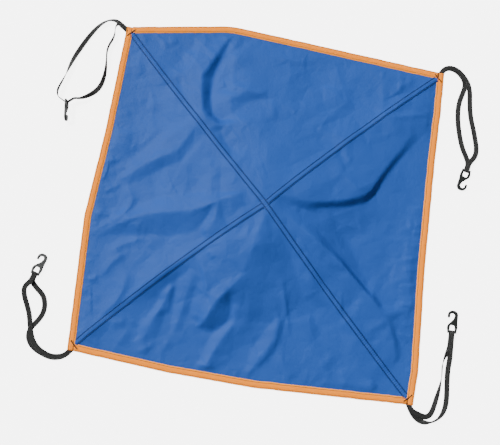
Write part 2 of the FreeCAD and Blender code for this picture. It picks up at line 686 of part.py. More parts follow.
# ---------------------------------------------------------------- hooks
def place_on_bar(shape, corner, dip):
    """Put a shape made round the Z axis, pointing along X, on the hook's bar."""
    loop = LOOPS[corner]
    if not loop["upright"]:
        shape.rotate(Vector(0, 0, 0), Vector(1, 0, 0), 90)
        shape.rotate(Vector(0, 0, 0), Vector(0, 1, 0), dip)
    shape.rotate(Vector(0, 0, 0), Vector(0, 0, 1), loop["hook_heading"])
    shape.translate(bar_place(corner))
    return shape


def rounded_outline(corners):
    """A closed outline of straight sides, with its own radius at each corner."""
    edges = []
    count = len(corners)
    places = [Vector(x, y, 0) for x, y, _ in corners]
    arcs = []
    for i in range(count):
        here = places[i]
        way_in = (here - places[i - 1]).normalize()
        way_out = (places[(i + 1) % count] - here).normalize()
        turn = math.acos(max(-1.0, min(1.0, way_in.dot(way_out))))
        side = 1.0 if way_in.cross(way_out).z > 0 else -1.0
        radius = corners[i][2]
        reach = radius * math.tan(0.5 * turn)
        centre = here - way_in * reach + left_normal(way_in) * (side * radius)
        middle = centre - (left_normal(way_in) + left_normal(way_out)).normalize() * (side * radius)
        arcs.append((here - way_in * reach, middle, here + way_out * reach))
    for i in range(count):
        begin, middle, end = arcs[i]
        if corners[i][2] > 0:
            edges.append(Part.Arc(begin, middle, end).toShape())
        following = arcs[(i + 1) % count][0]
        if (following - end).Length > 1e-4:
            edges.append(Part.LineSegment(end, following).toShape())
    return Part.Face(Part.Wire(edges))


def disc(radius, x, y):
    return Part.Face(Part.Wire(Part.makeCircle(radius, Vector(x, y, 0))))


def hook_outline():
    """Eye, back, bend and tip.  X runs from the bar to the bend, Y towards the tip's side."""
    bend_y = BEND_ASIDE
    back_y = bend_y - BEND_RADIUS - BACK_THICKNESS
    tip_y = bend_y + BEND_RADIUS + TIP_THICKNESS
    crown_x = BEND_AT + BEND_RADIUS + CROWN_THICKNESS
    tip_x = BEND_AT - TIP_DROP
    throat_x = BEND_AT - BEND_RADIUS
    body = rounded_outline([
        (0.0, -HOOK_FOOT_HALF_WIDTH, 1.2),
        (HOOK_WIDEST_AT, -HOOK_HALF_WIDTH, 6.0),
        (BEND_AT - 9.0, back_y + 0.3, 6.0),
        (crown_x, back_y, 6.4),
        (crown_x, tip_y, 6.4),
        (tip_x, tip_y, 1.4),
        (tip_x, bend_y + BEND_RADIUS, 1.4),
        (BEND_AT, bend_y + BEND_RADIUS, 0.0),
        (BEND_AT, bend_y, 0.0),
        (throat_x, bend_y - 0.9 * BEND_RADIUS, 2.0),
        (HOOK_WIDEST_AT + 3.2, HOOK_HALF_WIDTH - 1.2, 3.0),
        (HOOK_WIDEST_AT - 0.6, HOOK_HALF_WIDTH, 2.0),
        (0.0, HOOK_FOOT_HALF_WIDTH, 1.2),
    ])
    body = body.cut(disc(BEND_RADIUS, BEND_AT, bend_y))
    hole = rounded_outline([
        (0.0, -EYE_HALF_WIDTH, 0.8),
        (EYE_LENGTH, -EYE_CROWN_HALF_WIDTH, 2.2),
        (EYE_LENGTH, EYE_CROWN_HALF_WIDTH, 2.2),
        (0.0, EYE_HALF_WIDTH, 0.8),
    ])
    return body.cut(hole).Faces[0]


def hook(corner):
    """Flat moulded hook with an eye, on a round bar."""
    plate = hook_outline().extrude(Vector(0, 0, HOOK_THICKNESS))
    plate.translate(Vector(0, 0, -0.5 * HOOK_THICKNESS))
    longest = [edge for edge in plate.Edges
               if abs(abs(edge.BoundBox.ZMin) - 0.5 * HOOK_THICKNESS) < 1e-4
               and edge.BoundBox.ZLength < 1e-4]
    plate = plate.makeChamfer(HOOK_EDGE_CHAMFER, longest)
    bar = Part.makeCylinder(BAR_RADIUS, 2 * HOOK_FOOT_HALF_WIDTH,
                            Vector(0, -HOOK_FOOT_HALF_WIDTH, 0), Vector(0, 1, 0))
    body = plate.fuse(bar).removeSplitter()
    body.rotate(Vector(0, 0, 0), Vector(1, 0, 0), -90)
    reach = BEND_AT + BEND_RADIUS + CROWN_THICKNESS - 2.0
    dip = math.degrees(math.asin((BAR_HEIGHT - 0.5 * HOOK_THICKNESS) / reach))
    return place_on_bar(body, corner, dip)


# ---------------------------------------------------------------- all nodes
def build():
    nodes = {}
    for edge in EDGES:
        nodes["cloth_panel_" + edge] = cloth_panel(edge)
    nodes.update(diagonal_seams())
    notches = [tab_block(corner, TAB_CLEARANCE, TAB_DEPTH, TAB_OUT) for corner in CORNERS]
    for edge in EDGES:
        nodes["binding_" + edge] = binding(edge, notches)
        nodes["binding_" + edge + "_stitches"] = Part.Compound(binding_stitches(edge))
    for corner in CORNERS:
        nodes["bar_tack_" + corner] = bar_tack(corner)
        nodes["elastic_tab_" + corner] = elastic_tab(corner)
        nodes["elastic_strands_" + corner] = elastic_strands(corner)
        nodes["elastic_bight_" + corner] = elastic_bight(corner)
        nodes["hook_" + corner] = hook(corner)
    return nodes


os.makedirs("parts", exist_ok=True)
for name, shape in build().items():
    shape.exportStep("parts/" + name + ".step")
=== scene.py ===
"""Looks of the square hook-on fabric panel: cloth, seams, bound edges, elastic loops and hooks.

Lengths are in metres.  +Z is up, and the panel lies loosely on the ground.
"""
import math
import random

import bpy
import numpy as np
from bpy.props import FloatProperty, FloatVectorProperty, IntProperty, PointerProperty
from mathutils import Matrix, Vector, geometry, noise


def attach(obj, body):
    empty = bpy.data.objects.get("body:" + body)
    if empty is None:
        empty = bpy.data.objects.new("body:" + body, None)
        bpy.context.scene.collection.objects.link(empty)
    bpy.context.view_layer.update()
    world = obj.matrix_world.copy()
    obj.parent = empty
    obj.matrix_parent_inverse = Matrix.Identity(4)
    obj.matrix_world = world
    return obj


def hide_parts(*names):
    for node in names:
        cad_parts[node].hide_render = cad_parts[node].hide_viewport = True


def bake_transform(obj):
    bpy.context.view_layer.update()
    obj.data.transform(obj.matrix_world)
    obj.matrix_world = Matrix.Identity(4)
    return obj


bl_info = {
    "name": "Hook-on fabric panel",
    "version": (1, 0, 0),
    "blender": (4, 5, 0),
    "location": "View3D > Sidebar > Fabric panel",
    "description": "Builds a bound square of slack taffeta with elastic corner loops",
    "category": "Object",
}

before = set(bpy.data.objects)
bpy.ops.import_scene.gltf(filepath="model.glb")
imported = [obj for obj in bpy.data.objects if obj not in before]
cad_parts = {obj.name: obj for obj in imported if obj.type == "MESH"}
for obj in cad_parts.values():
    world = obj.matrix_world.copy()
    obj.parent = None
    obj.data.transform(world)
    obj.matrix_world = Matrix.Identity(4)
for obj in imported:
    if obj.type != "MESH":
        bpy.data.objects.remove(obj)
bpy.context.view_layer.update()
MM = 0.001

# ---------------------------------------------------------------- sizes shared with the part
HALF = 240 * MM
LAY_CENTRE = Vector((0.04, -0.36, 0)) * MM
CORNER_SIGN = {"top_left": (-1, 1), "top_right": (1, 1), "bottom_right": (1, -1), "bottom_left": (-1, -1)}
CORNER_SHIFT = {
    "top_left": (2.2, -3.1), "top_right": (1.2, -8.3),
    "bottom_right": (6.6, -12.0), "bottom_left": (2.0, -6.5),
}
EDGE_ENDS = {
    "top": ("top_left", "top_right"), "right": ("top_right", "bottom_right"),
    "bottom": ("bottom_right", "bottom_left"), "left": ("bottom_left", "top_left"),
}
EDGE_BENDS = {
    "top": [(-0.341, 20.5), (0.093, 11.5)],
    "right": [(0.730, 2.1), (0.410, 1.1), (-0.265, 3.1), (-0.852, 9.1)],
    "bottom": [(0.110, 20.5), (-0.391, 17.2)],
    "left": [(-0.235, 9.1), (0.296, 1.5)],
}
CROSS = Vector((6.0, -6.48, 0)) * MM
SEAM_BOW = {"top_left": 1.5, "top_right": 4.5, "bottom_right": -2.0, "bottom_left": -6.0}
CLOTH_LEVEL = 0.85 * MM
KINK_RADIUS = 120 * MM
TAB_START = 3.5 * MM
TAB_LEAD = 5.0 * MM
BIGHT_RADIUS = 2.25 * MM
BIGHT_LEG = 3.5 * MM
BIGHT_LEAD = 8.0 * MM
GROUND_GAP = 0.05 * MM
STACKED = 1.15

# Lines that the slack cloth bends along, crests and feet alike: x, y and height in millimetres.
# The cloth between them lies nearly flat.
BENDS = [
    # seams, from the crossing to the corners
    [(6, -6, 25), (-22, 26, 22.5), (-53, 52, 18.5), (-80, 80, 15), (-103, 103, 12), (-153, 154, 5.5),
     (-203, 201, 1.5)],
    [(6, -6, 25), (28, 18, 23), (49, 36, 20.5), (79, 69, 16), (129, 120, 9.5), (181, 172, 4), (212, 204, 1.2)],
    [(6, -6, 25), (25, -26, 23), (47, -49, 20), (72, -76, 16), (97, -100, 12), (143, -151, 6), (197, -203, 2)],
    [(6, -6, 25), (-20, -30, 23), (-51, -55, 18.5), (-78, -80, 14.5), (-106, -106, 10), (-156, -151, 4),
     (-206, -203, 1.2)],
    # front: the crest, its two pockets and the lobes below them
    [(8, -24, 25), (2, -48, 24.3), (-3, -78, 22.5), (-11, -108, 20), (-30, -136, 16)],
    [(-30, -136, 16.5), (-43, -153, 15), (-55, -177, 11.5), (-60, -186, 6)],
    [(-24, -141, 10), (-21, -152, 4.8), (-18, -169, 2.6), (-28, -182, 1.4), (-40, -194, 0.5), (-60, -189, 1.0)],
    [(-16, -180, 5.6), (-32, -210, 5.0), (-48, -238, 1.8)],
    [(-42, -198, 1.0), (-56, -224, 0.5), (-66, -238, 0.3)],
    [(-13, -134, 14), (-13, -152, 8.5), (-14, -170, 4.6), (-14, -182, 4.4), (-9, -204, 0.8), (-12, -230, 0.5)],
    [(14, -70, 21), (12, -100, 17.5), (6, -126, 14), (3, -150, 10), (3, -172, 5.5), (3, -190, 1.8), (2, -205, 0.4),
     (10, -207, 0.4)],
    [(24, -126, 11.5), (24, -148, 8), (20, -170, 3.5), (12, -203, 0.4), (23, -191, 0.8), (36, -169, 2.4),
     (46, -161, 5.4)],
    [(47, -161, 5.8), (46, -190, 5.2), (34, -216, 4.0), (16, -241, 1.4)],
    [(56, -166, 3.4), (55, -192, 2.0), (42, -218, 1.0), (22, -242, 0.4)],
    [(24, -192, 1.2), (12, -214, 0.5), (8, -240, 0.3)],
    [(36, -132, 10), (42, -148, 6.4), (48, -156, 4.6)],
    [(20, -38, 22), (30, -72, 17.5), (40, -106, 12.5), (52, -130, 8.4), (60, -150, 4.8)],
    [(34, -45, 20), (54, -76, 13.8), (67, -106, 8.4), (78, -128, 4.8), (94, -137, 4)],
    [(84, -104, 12), (100, -124, 8.5), (116, -136, 6.6), (132, -146, 5)],
    [(64, -160, 3.6), (88, -157, 2.8), (116, -160, 2.4), (138, -166, 2.2)],
    [(68, -190, 2.4), (110, -200, 1.2), (150, -205, 1.2)], [(60, -205, 1.8), (78, -238, 0.5)],
    [(-78, -98, 13), (-92, -117, 5.5), (-106, -128, 3), (-124, -150, 1.6), (-145, -170, 1)],
    [(-79, -112, 10), (-84, -140, 8), (-90, -174, 5), (-95, -200, 1.8)],
    [(-102, -128, 2.6), (-103, -158, 1.4), (-101, -198, 0.8)],
    [(-74, -130, 8), (-77, -165, 3.2), (-84, -198, 1.0)],
    [(-108, -142, 5.6), (-122, -178, 4.6), (-138, -216, 2.0)],
    [(-122, -158, 1.4), (-141, -192, 0.8), (-156, -224, 0.5)],
    [(-112, -180, 1.4), (-118, -220, 0.8)],
    [(-66, -100, 14), (-63, -130, 12), (-62, -158, 9), (-62, -176, 6)],
    [(-38, -110, 17), (-46, -90, 18.5), (-60, -84, 17.5)],
    [(-64, -182, 2.4), (-70, -214, 1.0)],
    # left: a long ridge with a dark hollow below it, and the crest above it
    [(-222, -80, 1.4), (-203, -64, 5), (-176, -48, 8), (-164, -43, 9.6), (-132, -36, 13.5), (-102, -31, 17.5),
     (-78, -23, 21), (-62, -11, 23.6), (-40, 0, 25)],
    [(-212, -50, 1.6), (-192, -36, 2.6), (-152, -17, 6.4), (-102, -3, 12.6), (-62, 3, 19), (-28, 6, 22.8)],
    [(-224, -85, 0.6), (-202, -79, 0.9), (-178, -74, 1.4), (-152, -70, 2.6), (-124, -68, 6), (-98, -62, 9.6),
     (-88, -55, 11.6), (-79, -57, 13)],
    [(-150, -74, 3.6), (-128, -84, 5.5), (-112, -92, 8)],
    [(-66, -12, 21.5), (-71, -32, 16), (-80, -52, 13.2)], [(-60, -16, 23.2), (-62, -38, 20.5), (-72, -56, 17.5)],
    [(-46, -6, 24), (-44, -24, 22)],
    [(-208, 3, 2.4), (-188, 18, 5.6), (-167, 35, 8.8), (-152, 44, 10.8), (-132, 54, 13.4), (-118, 78, 13.6),
     (-106, 102, 12.6)],
    [(-200, -6, 1.4), (-180, 6, 2.8), (-158, 22, 5), (-142, 31, 7.4), (-122, 42, 10.6), (-106, 70, 12)],
    [(-200, 34, 1.4), (-178, 54, 3), (-158, 84, 5), (-136, 104, 8)],
    [(-136, 10, 8.0), (-96, 34, 13.6)],
    [(-176, 130, 2.0), (-206, 150, 0.8)], [(-190, -110, 0.8), (-160, -130, 2.0)],
    # far: the steep wall of the long crease, its bright side, and the line across the middle
    [(-80, 246, 1.6), (-93, 220, 5), (-103, 193, 7.8), (-113, 175, 10), (-109, 149, 12.4), (-103, 120, 14)],
    [(-78, 246, 0.6), (-86, 219, 1.0), (-93, 198, 1.2), (-98, 177, 1.4), (-97, 149, 3.0), (-91, 122, 5.2)],
    [(-72, 242, 1.4), (-68, 214, 4.4), (-69, 180, 7), (-64, 156, 9)],
    [(-142, 176, 5), (-150, 206, 2.0)],
    [(-88, 117, 5.2), (-79, 111, 6.4), (-69, 110, 8.6), (-58, 124, 8.8), (-41, 144, 8.2), (-12, 153, 8.4)],
    [(-66, 146, 10.4), (-46, 156, 11), (-20, 160, 10.2)],
    [(-94, 110, 14.2), (-78, 102, 14.8), (-66, 102, 13.8)], [(-74, 94, 12), (-66, 82, 13), (-56, 66, 15.4)],
    [(-52, 108, 13), (-20, 120, 13.2)],
    [(-46, 188, 6.6), (-14, 164, 8.2), (26, 140, 9.6), (66, 110, 11), (100, 88, 11.6)],
    [(0, 60, 20), (-6, 100, 15)], [(60, 190, 2.0), (110, 170, 3.0)], [(20, 215, 1.4)],
    [(150, 160, 5.0), (140, 190, 2.0)],
    # right: the long step and the ridge below it
    [(39, 9, 23.4), (57, 6, 21.6), (77, 7, 20), (97, 11, 18.4), (122, 18, 16), (145, 29, 13.6), (155, 38, 12.4),
     (162, 56, 10.6), (177, 84, 8), (192, 109, 6), (200, 129, 4.8), (200, 149, 3.4)],
    [(39, -3, 20.4), (57, -1, 17.8), (72, -1, 15), (97, 4, 10.6), (122, 10, 7.2), (145, 18, 4.2), (155, 32, 3.6),
     (167, 54, 2.6), (182, 80, 1.6), (197, 103, 1.0), (216, 128, 0.6)],
    [(190, 150, 3.8), (212, 158, 1.6)],
    [(88, 42, 18.6), (122, 56, 14.6), (148, 66, 12)], [(60, 22, 22)],
    [(32, -15, 23.2), (48, -24, 22.6), (72, -38, 20.8), (97, -56, 18.4), (122, -72, 15.6), (147, -92, 11.8),
     (172, -114, 8.4), (200, -142, 5)],
    [(40, -32, 21), (66, -55, 17.8), (92, -76, 14.6), (120, -94, 11), (150, -118, 7.4)],
    [(46, -10, 20), (70, -22, 16), (95, -40, 11.6), (118, -60, 7.6), (140, -82, 4.8), (168, -108, 3.0)],
    [(58, -4, 15.5), (77, -6, 12), (102, -14, 6.4), (122, -30, 3.0), (137, -50, 1.8), (149, -71, 1.2),
     (167, -95, 1.0), (186, -120, 1.6)],
    [(100, -66, 15.4), (126, -86, 11.6)],
    [(150, -15, 2.4), (168, -34, 1.6)], [(175, 0, 1.6), (200, 40, 0.8)],
    [(200, -142, 4), (211, -170, 5), (215, -190, 4.2), (213, -207, 2)],
    [(204, -143, 2.4), (216, -167, 1.0), (224, -180, 0.6), (224, -192, 0.6), (217, -210, 0.6)],
    [(176, -150, 4.4), (192, -176, 3.2)], [(182, -172, 2.6)],
]

# Thin wrinkles on top: points in millimetres, height, width to the left of the travel, to the right.
WRINKLES = [
    ([(42, -98), (48, -122), (58, -155), (67, -190)], 1.3, 2.5, 4),
    ([(-208, -4), (-188, -12), (-182, -28), (-198, -52), (-226, -71)], 1.8, 4, 7),
    ([(-202, -40), (-214, -46), (-230, -44)], 0.8, 5, 3), ([(-206, -18), (-220, -26), (-232, -24)], 0.8, 5, 3),
    ([(-204, 2), (-216, -12), (-230, -18)], 1.3, 4, 5),
    ([(-152, -75), (-186, -86), (-206, -108)], 1.6, 5, 8), ([(-178, -98), (-198, -116), (-210, -142)], 2.0, 5, 9),
    ([(-172, -122), (-174, -150), (-184, -176), (-206, -196)], 1.8, 5, 9),
    ([(-212, -140), (-228, -146)], 1.4, 4, 4),
    ([(-72, -98), (-60, -120), (-56, -150)], 0.9, 3, 4), ([(-64, -80), (-54, -94)], 1.0, 3, 4),
    ([(-56, -250), (-44, -243), (-32, -236)], 2.2, 7, 4), ([(-56, -250), (-42, -236), (-30, -206)], 1.4, 4, 7),
    ([(160, 224), (155, 196), (157, 156)], 0.9, 5, 5), ([(160, 148), (188, 156), (226, 165)], 1.5, 4, 5),
    ([(172, 196), (198, 216)], 1.2, 5, 6), ([(196, -20), (206, -12), (224, -2)], 0.9, 6, 6),
    ([(176, -30), (204, -26), (230, -20)], 1.0, 6, 6), ([(190, -62), (214, -52), (232, -48)], 0.8, 5, 5),
    ([(196, -90), (216, -80), (232, -76)], 0.8, 5, 5), ([(204, -122), (220, -116), (236, -112)], 0.7, 4, 4),
    ([(-160, 222), (-144, 208), (-130, 204)], 1.4, 7, 7), ([(-186, 214), (-168, 222), (-150, 230)], 1.3, 6, 7),
    ([(-214, 186), (-206, 176), (-208, 160)], 0.7, 5, 6), ([(-196, 190), (-176, 170), (-168, 150)], 1.2, 8, 10),
    ([(44, 196), (90, 204), (140, 208)], 0.9, 10, 10), ([(60, 180), (92, 186), (120, 184)], 0.8, 9, 9),
    ([(84, 60), (112, 50), (144, 32)], 0.8, 6, 8), ([(-8, 154), (-2, 134), (0, 118)], 1.0, 5, 5),
    ([(-70, 168), (-44, 160), (-16, 158)], 1.0, 4, 5), ([(110, -220), (124, -208), (128, -196)], 1.0, 6, 6),
    ([(152, -246), (150, -232), (140, -214)], 1.1, 6, 7), ([(178, -246), (184, -236), (186, -224)], 1.4, 6, 6),
    ([(206, -246), (208, -238), (204, -226)], 1.6, 6, 6), ([(78, -246), (62, -222), (50, -206)], 1.2, 7, 7),
    ([(-112, -244), (-104, -226), (-100, -206)], 1.2, 6, 6),
    ([(-140, -238), (-130, -228), (-118, -222)], 1.3, 6, 4),
    ([(-186, -206), (-176, -198), (-162, -196)], 1.2, 6, 7),
    ([(-172, -232), (-162, -214), (-154, -200)], 1.2, 6, 6),
    ([(-164, 60), (-140, 78), (-118, 104)], 0.9, 7, 8), ([(-216, 60), (-206, 76), (-190, 84)], 1.0, 8, 8),
    ([(-88, 50), (-76, 34), (-66, 20)], 0.8, 8, 8), ([(110, -12), (130, -18), (158, -18)], 1.2, 5, 5),
    ([(136, -78), (118, -76), (96, -74)], 1.0, 5, 7), ([(200, -142), (186, -150), (168, -164)], 1.2, 4, 6),
    ([(150, -132), (158, -118), (160, -104)], 0.8, 6, 6), ([(0, -66), (26, -60), (34, -84)], 0.8, 9, 9),
]

# Where the binding gathers the cloth: edge, share of its length from and to, strength, slant.
GATHERS = [
    ("left", 0.06, 0.30, 0.8, -0.3), ("left", 0.34, 0.62, 0.9, 0.5), ("left", 0.62, 0.96, 0.6, 0.2),
    ("right", 0.05, 0.40, 0.4, 0.3), ("right", 0.40, 0.90, 1.3, 0.2), ("top", 0.04, 0.30, 0.8, 0.6),
    ("top", 0.30, 0.96, 0.35, 0.5), ("bottom", 0.05, 0.95, 0.8, -0.4),
]

# Fine crumpling in layers: width and height in millimetres, heading in degrees, seed.
CRUMPLES = [(24, 2.0, 28, 5), (19, 1.5, -62, 8), (10, 0.75, 80, 2), (8, 0.5, -15, 4)]

# The two strands of each elastic, from the corner to the hook: x, y from the place where
# the elastic leaves the binding and the height off the ground, in millimetres, and roll in degrees.
# Height and roll are 0 where they aren't given.
LOOPS = {
    "top_right": {
        "exit": (-4.6, 0.4), "heading": 60, "bar": (50.5, -143.5, 2.7), "hook_heading": -101,
        "upright": False, "over": "second",
        "first": [
            (13, 9.6), (22.5, 6.6), (31, -0.6), (36.6, -10.4), (36.2, -21), (32.6, -32.6),
            (30.2, -45), (30.2, -60), (32.6, -77), (36.8, -95), (42.2, -111), (48.6, -122.5),
        ],
        "second": [
            (13.4, 10.4, STACKED), (23.6, 7.4, STACKED), (32.6, -0.2, STACKED),
            (40.6, -10.8, STACKED), (44.6, -22.4), (45.8, -36), (47.4, -51), (50.6, -66),
            (55.6, -81), (59.4, -95.5), (62.6, -108.5), (61, -121, 2.2),
        ],
    },
    "bottom_right": {
        "exit": (-6.2, 0.2), "heading": -60, "bar": (48.4, 106.8, 2.7), "hook_heading": 90,
        "upright": False, "over": "first",
        "first": [
            (8.4, -13.2), (14.8, -18.2), (23, -20.6, 0, 30), (31.6, -19.4, 0, 70),
            (40.6, -14, 0, 60), (47.6, -4.6, 0, 25), (50.8, 7.4), (50.6, 22), (49.2, 38.6),
            (48.6, 55), (49.6, 69, 1.6), (48.9, 82, 3.2),
        ],
        "second": [
            (13, -10.4, STACKED), (23.6, -13.6, STACKED), (30.4, -9.6, STACKED), (34, 0, 0, 10),
            (36.6, 13.6, 0, 20), (39.2, 29, 0, 50), (40.6, 44.6, 0, 80), (39.6, 59, 0, 85),
            (41.8, 71.5, 0, 55), (48, 82),
        ],
    },
    "bottom_left": {
        "exit": (4.4, -0.2), "heading": -128, "bar": (-68.4, 98.6, 2.7), "hook_heading": 75,
        "upright": False, "over": "second",
        "first": [
            (-13.4, -11.4), (-25, -13), (-37, -9.8), (-47.6, -5.4), (-56.4, 1.2), (-62, 11.4),
            (-60.4, 23.4), (-52.4, 33.6), (-46.8, 45), (-46.4, 58), (-51.5, 70.5), (-63, 79),
        ],
        "second": [
            (-13, -10.4, STACKED), (-24.6, -11.8, STACKED), (-36.4, -8, STACKED),
            (-46, -2.6, STACKED), (-53.6, 5.8, STACKED), (-58.8, 17, STACKED),
            (-62.4, 30, STACKED), (-66.4, 43), (-72.6, 55.4), (-78.4, 67, 0.4), (-80.2, 78, 2.2),
        ],
    },
    "top_left": {
        "exit": (-0.4, -4.2), "heading": 143, "bar": (-65.4, -125, 7.35), "hook_heading": -82,
        "upright": True, "over": "second",
        "first": [
            (-16, 11.4, 0, 30), (-27.6, 10, 0, 50), (-38.4, 2.2, 0, 35), (-47.8, -10.4, 0, 15),
            (-55.6, -24.4, 0, 5), (-62.6, -39.6), (-68.6, -55, 0, 15), (-72.4, -70, 0, 40),
            (-75.2, -84, 0, 70), (-79.2, -97.4, 1, 85), (-82.6, -109.6, 2.4, 90),
            (-80.4, -119, 3.4, 90),
        ],
        "second": [
            (-12.6, 6, STACKED, 30), (-15.8, -1.2, 0.6, 70), (-14.6, -9.8, 0, 85),
            (-16, -19.2, 0, 90), (-20.2, -28.8, 0, 90), (-21.8, -40, 0, 90), (-19.8, -53, 0, 90),
            (-18.2, -67, 0, 106), (-18.6, -81, 0, 122), (-21.4, -94, 0, 138),
            (-28, -104.6, 0.8, 142), (-37, -112.8, 2, 116), (-47.4, -118.6, 3.2, 92),
        ],
    },
}
UPRIGHT_SPREAD = 55


# ---------------------------------------------------------------- shader building
class Wire:
    """An output socket.  Arithmetic on it adds Math nodes."""

    def __init__(self, finish, socket):
        self.finish = finish
        self.socket = socket

    def maths(self, operation, *others):
        return self.finish.node("ShaderNodeMath", {"operation": operation}, dict(enumerate((self, *others))))

    def __add__(self, other):
        return self.maths("ADD", other)

    def __sub__(self, other):
        return self.maths("SUBTRACT", other)

    def __mul__(self, other):
        return self.maths("MULTIPLY", other)

    def __abs__(self):
        return self.maths("ABSOLUTE")

    __radd__ = __add__
    __rmul__ = __mul__


class Finish:
    """One material, built from nodes."""

    def __init__(self, name, tree=None):
        if tree is None:
            self.material = bpy.data.materials.new(name)
            self.material.use_nodes = True
            tree = self.material.node_tree
        self.tree = tree
        self.shader = tree.nodes.get("Principled BSDF")

    def node(self, kind, settings, sockets, output=0):
        """A new node with its settings and inputs, as the wire of one of its outputs."""
        made = self.tree.nodes.new(kind)
        for name, value in settings.items():
            setattr(made, name, value)
        for key, value in sockets.items():
            if isinstance(value, Wire):
                self.tree.links.new(value.socket, made.inputs[key])
            else:
                made.inputs[key].default_value = value
        return Wire(self, made.outputs[output])

    def place(self, kind="Object"):
        return self.node("ShaderNodeTexCoord", {}, {}, kind)

    def parts(self, vector):
        split = self.tree.nodes.new("ShaderNodeSeparateXYZ")
        self.tree.links.new(vector.socket, split.inputs[0])
        return [Wire(self, socket) for socket in split.outputs]

    def clouds(self, vector, size, detail=3.0, roughness=0.5):
        return self.node("ShaderNodeTexNoise", {"noise_dimensions": "3D"},
                         {"Vector": vector, "Scale": 1 / size, "Detail": detail, "Roughness": roughness})

    def ribs(self, value, pitch):
        return (value * (2 * math.pi / pitch)).maths("SINE")

    def mix(self, factor, first, second):
        return self.node("ShaderNodeMix", {"data_type": "RGBA"}, {0: factor, 6: first, 7: second}, 2)

    def set(self, **sockets):
        for key, value in sockets.items():
            name = key.replace("_", " ").title().replace("Ior", "IOR")
            if isinstance(value, Wire):
                self.tree.links.new(value.socket, self.shader.inputs[name])
            else:
                self.shader.inputs[name].default_value = value
        return self

    def surface(self, shader, output="Material Output"):
        self.tree.links.new(shader.socket, self.tree.nodes[output].inputs["Surface"])

    def bump(self, height, distance):
        relief = self.node("ShaderNodeBump", {}, {"Strength": 1.0, "Distance": distance, "Height": height})
        return self.set(normal=relief)


def colour(values, share=1.0):
    """A colour made darker or lighter, with its alpha."""
    return (*[value * share for value in values], 1.0)


# ---------------------------------------------------------------- plan of the laid panel
def square_corner(name):
    """A corner of the bound square as it lies."""
    sign, shift = CORNER_SIGN[name], CORNER_SHIFT[name]
    return Vector((HALF * sign[0] + shift[0] * MM, HALF * sign[1] + shift[1] * MM, 0)) - LAY_CENTRE


CORNERS = {name: square_corner(name) for name in CORNER_SIGN}


def edge_points(edge):
    """The bound edge's ends and the places where it bends."""
    start, end = EDGE_ENDS[edge]
    middle = []
    for along, out in EDGE_BENDS[edge]:
        reach = HALF + out * MM
        place = {"top": (along * HALF, reach), "bottom": (along * HALF, -reach),
                 "right": (reach, along * HALF), "left": (-reach, along * HALF)}[edge]
        middle.append(Vector((*place, 0)) - LAY_CENTRE)
    return [CORNERS[start], *middle, CORNERS[end]]


EDGES = {edge: edge_points(edge) for edge in EDGE_ENDS}


def left_of(direction):
    """The level direction to the left of another."""
    return Vector((-direction.y, direction.x, 0)).normalized()


def walk(points, step):
    """Places and directions along straight runs with rounded bends, evenly spaced."""
    dense = [points[0]]
    for before, here, after in zip(points, points[1:], points[2:]):
        way_in, way_out = (here - before).normalized(), (after - here).normalized()
        turn = way_in.angle(way_out)
        shorter = min((here - before).length, (after - here).length)
        reach = min(KINK_RADIUS * math.tan(turn / 2), 0.45 * shorter)
        for i in range(9):
            t = i / 8
            first = (here - way_in * reach).lerp(here, t)
            dense.append(first.lerp(here.lerp(here + way_out * reach, t), t))
    dense.append(points[-1])
    lengths = [0.0]
    for a, b in zip(dense, dense[1:]):
        lengths.append(lengths[-1] + (b - a).length)
    count = max(2, round(lengths[-1] / step))
    places, k = [], 0
    for i in range(count + 1):
        goal = lengths[-1] * i / count
        while k < len(dense) - 2 and lengths[k + 1] < goal:
            k += 1
        share = (goal - lengths[k]) / max(1e-9, lengths[k + 1] - lengths[k])
        places.append(dense[k].lerp(dense[k + 1], share))
    ways = [(places[min(i + 1, count)] - places[max(i - 1, 0)]).normalized() for i in range(count + 1)]
    return places, ways


def seam_plan(corner, share, aside):
    """A place on the seam from the crossing to a corner: share of the way, distance to its left."""
    run = CORNERS[corner] - CROSS
    bow = SEAM_BOW[corner] * MM * 4.0 * share * (1.0 - share)
    return CROSS + run * share + left_of(run) * (bow + aside)


# ---------------------------------------------------------------- heights of the slack cloth
def smooth(value):
    """An eased step from 0 to 1."""
    value = np.clip(value, 0.0, 1.0)
    return value * value * (3.0 - 2.0 * value)


def rounded_line(points):
    """The same line with its corners cut twice."""
    for _ in range(2):
        cut = [points[0]]
        for a, b in zip(points, points[1:]):
            cut += [((1 - k) * a[0] + k * b[0], (1 - k) * a[1] + k * b[1]) for k in (0.25, 0.75)]
        cut.append(points[-1])
        points = cut
    return points


def beside(px, py, points):
    """Distance to a line, its signed side (left is +) and the share of its length."""
    runs = [(a, b, math.dist(a, b)) for a, b in zip(points, points[1:]) if math.dist(a, b) > 1e-9]
    total = sum(run[2] for run in runs)
    gap = np.full(px.shape, 1e9)
    side = np.ones(px.shape)
    share = np.zeros(px.shape)
    walked = 0.0
    for a, b, length in runs:
        rx, ry = (b[0] - a[0]) / length, (b[1] - a[1]) / length
        along = np.clip((px - a[0]) * rx + (py - a[1]) * ry, 0.0, length)
        dx, dy = px - a[0] - rx * along, py - a[1] - ry * along
        distance = np.hypot(dx, dy)
        nearer = distance < gap
        gap = np.where(nearer, distance, gap)
        side = np.where(nearer, np.where(rx * (py - a[1]) - ry * (px - a[0]) >= 0, 1.0, -1.0), side)
        share = np.where(nearer, (walked + along) / total, share)
        walked += length
    return gap, side, share


def crease(px, py, points, height, left, right):
    """A fold: sharp along its line, and fading to both sides and towards both ends."""
    line = rounded_line([(x * MM, y * MM) for x, y in points])
    gap, side, share = beside(px, py, line)
    width = np.where(side > 0, left, right) * MM
    crest = 1.2 * MM
    eased = np.sqrt(gap ** 2 + crest ** 2) - crest
    ends = smooth(share / 0.30) * smooth((1.0 - share) / 0.30)
    return height * MM * ends * np.exp(-((eased / width) ** 1.35))


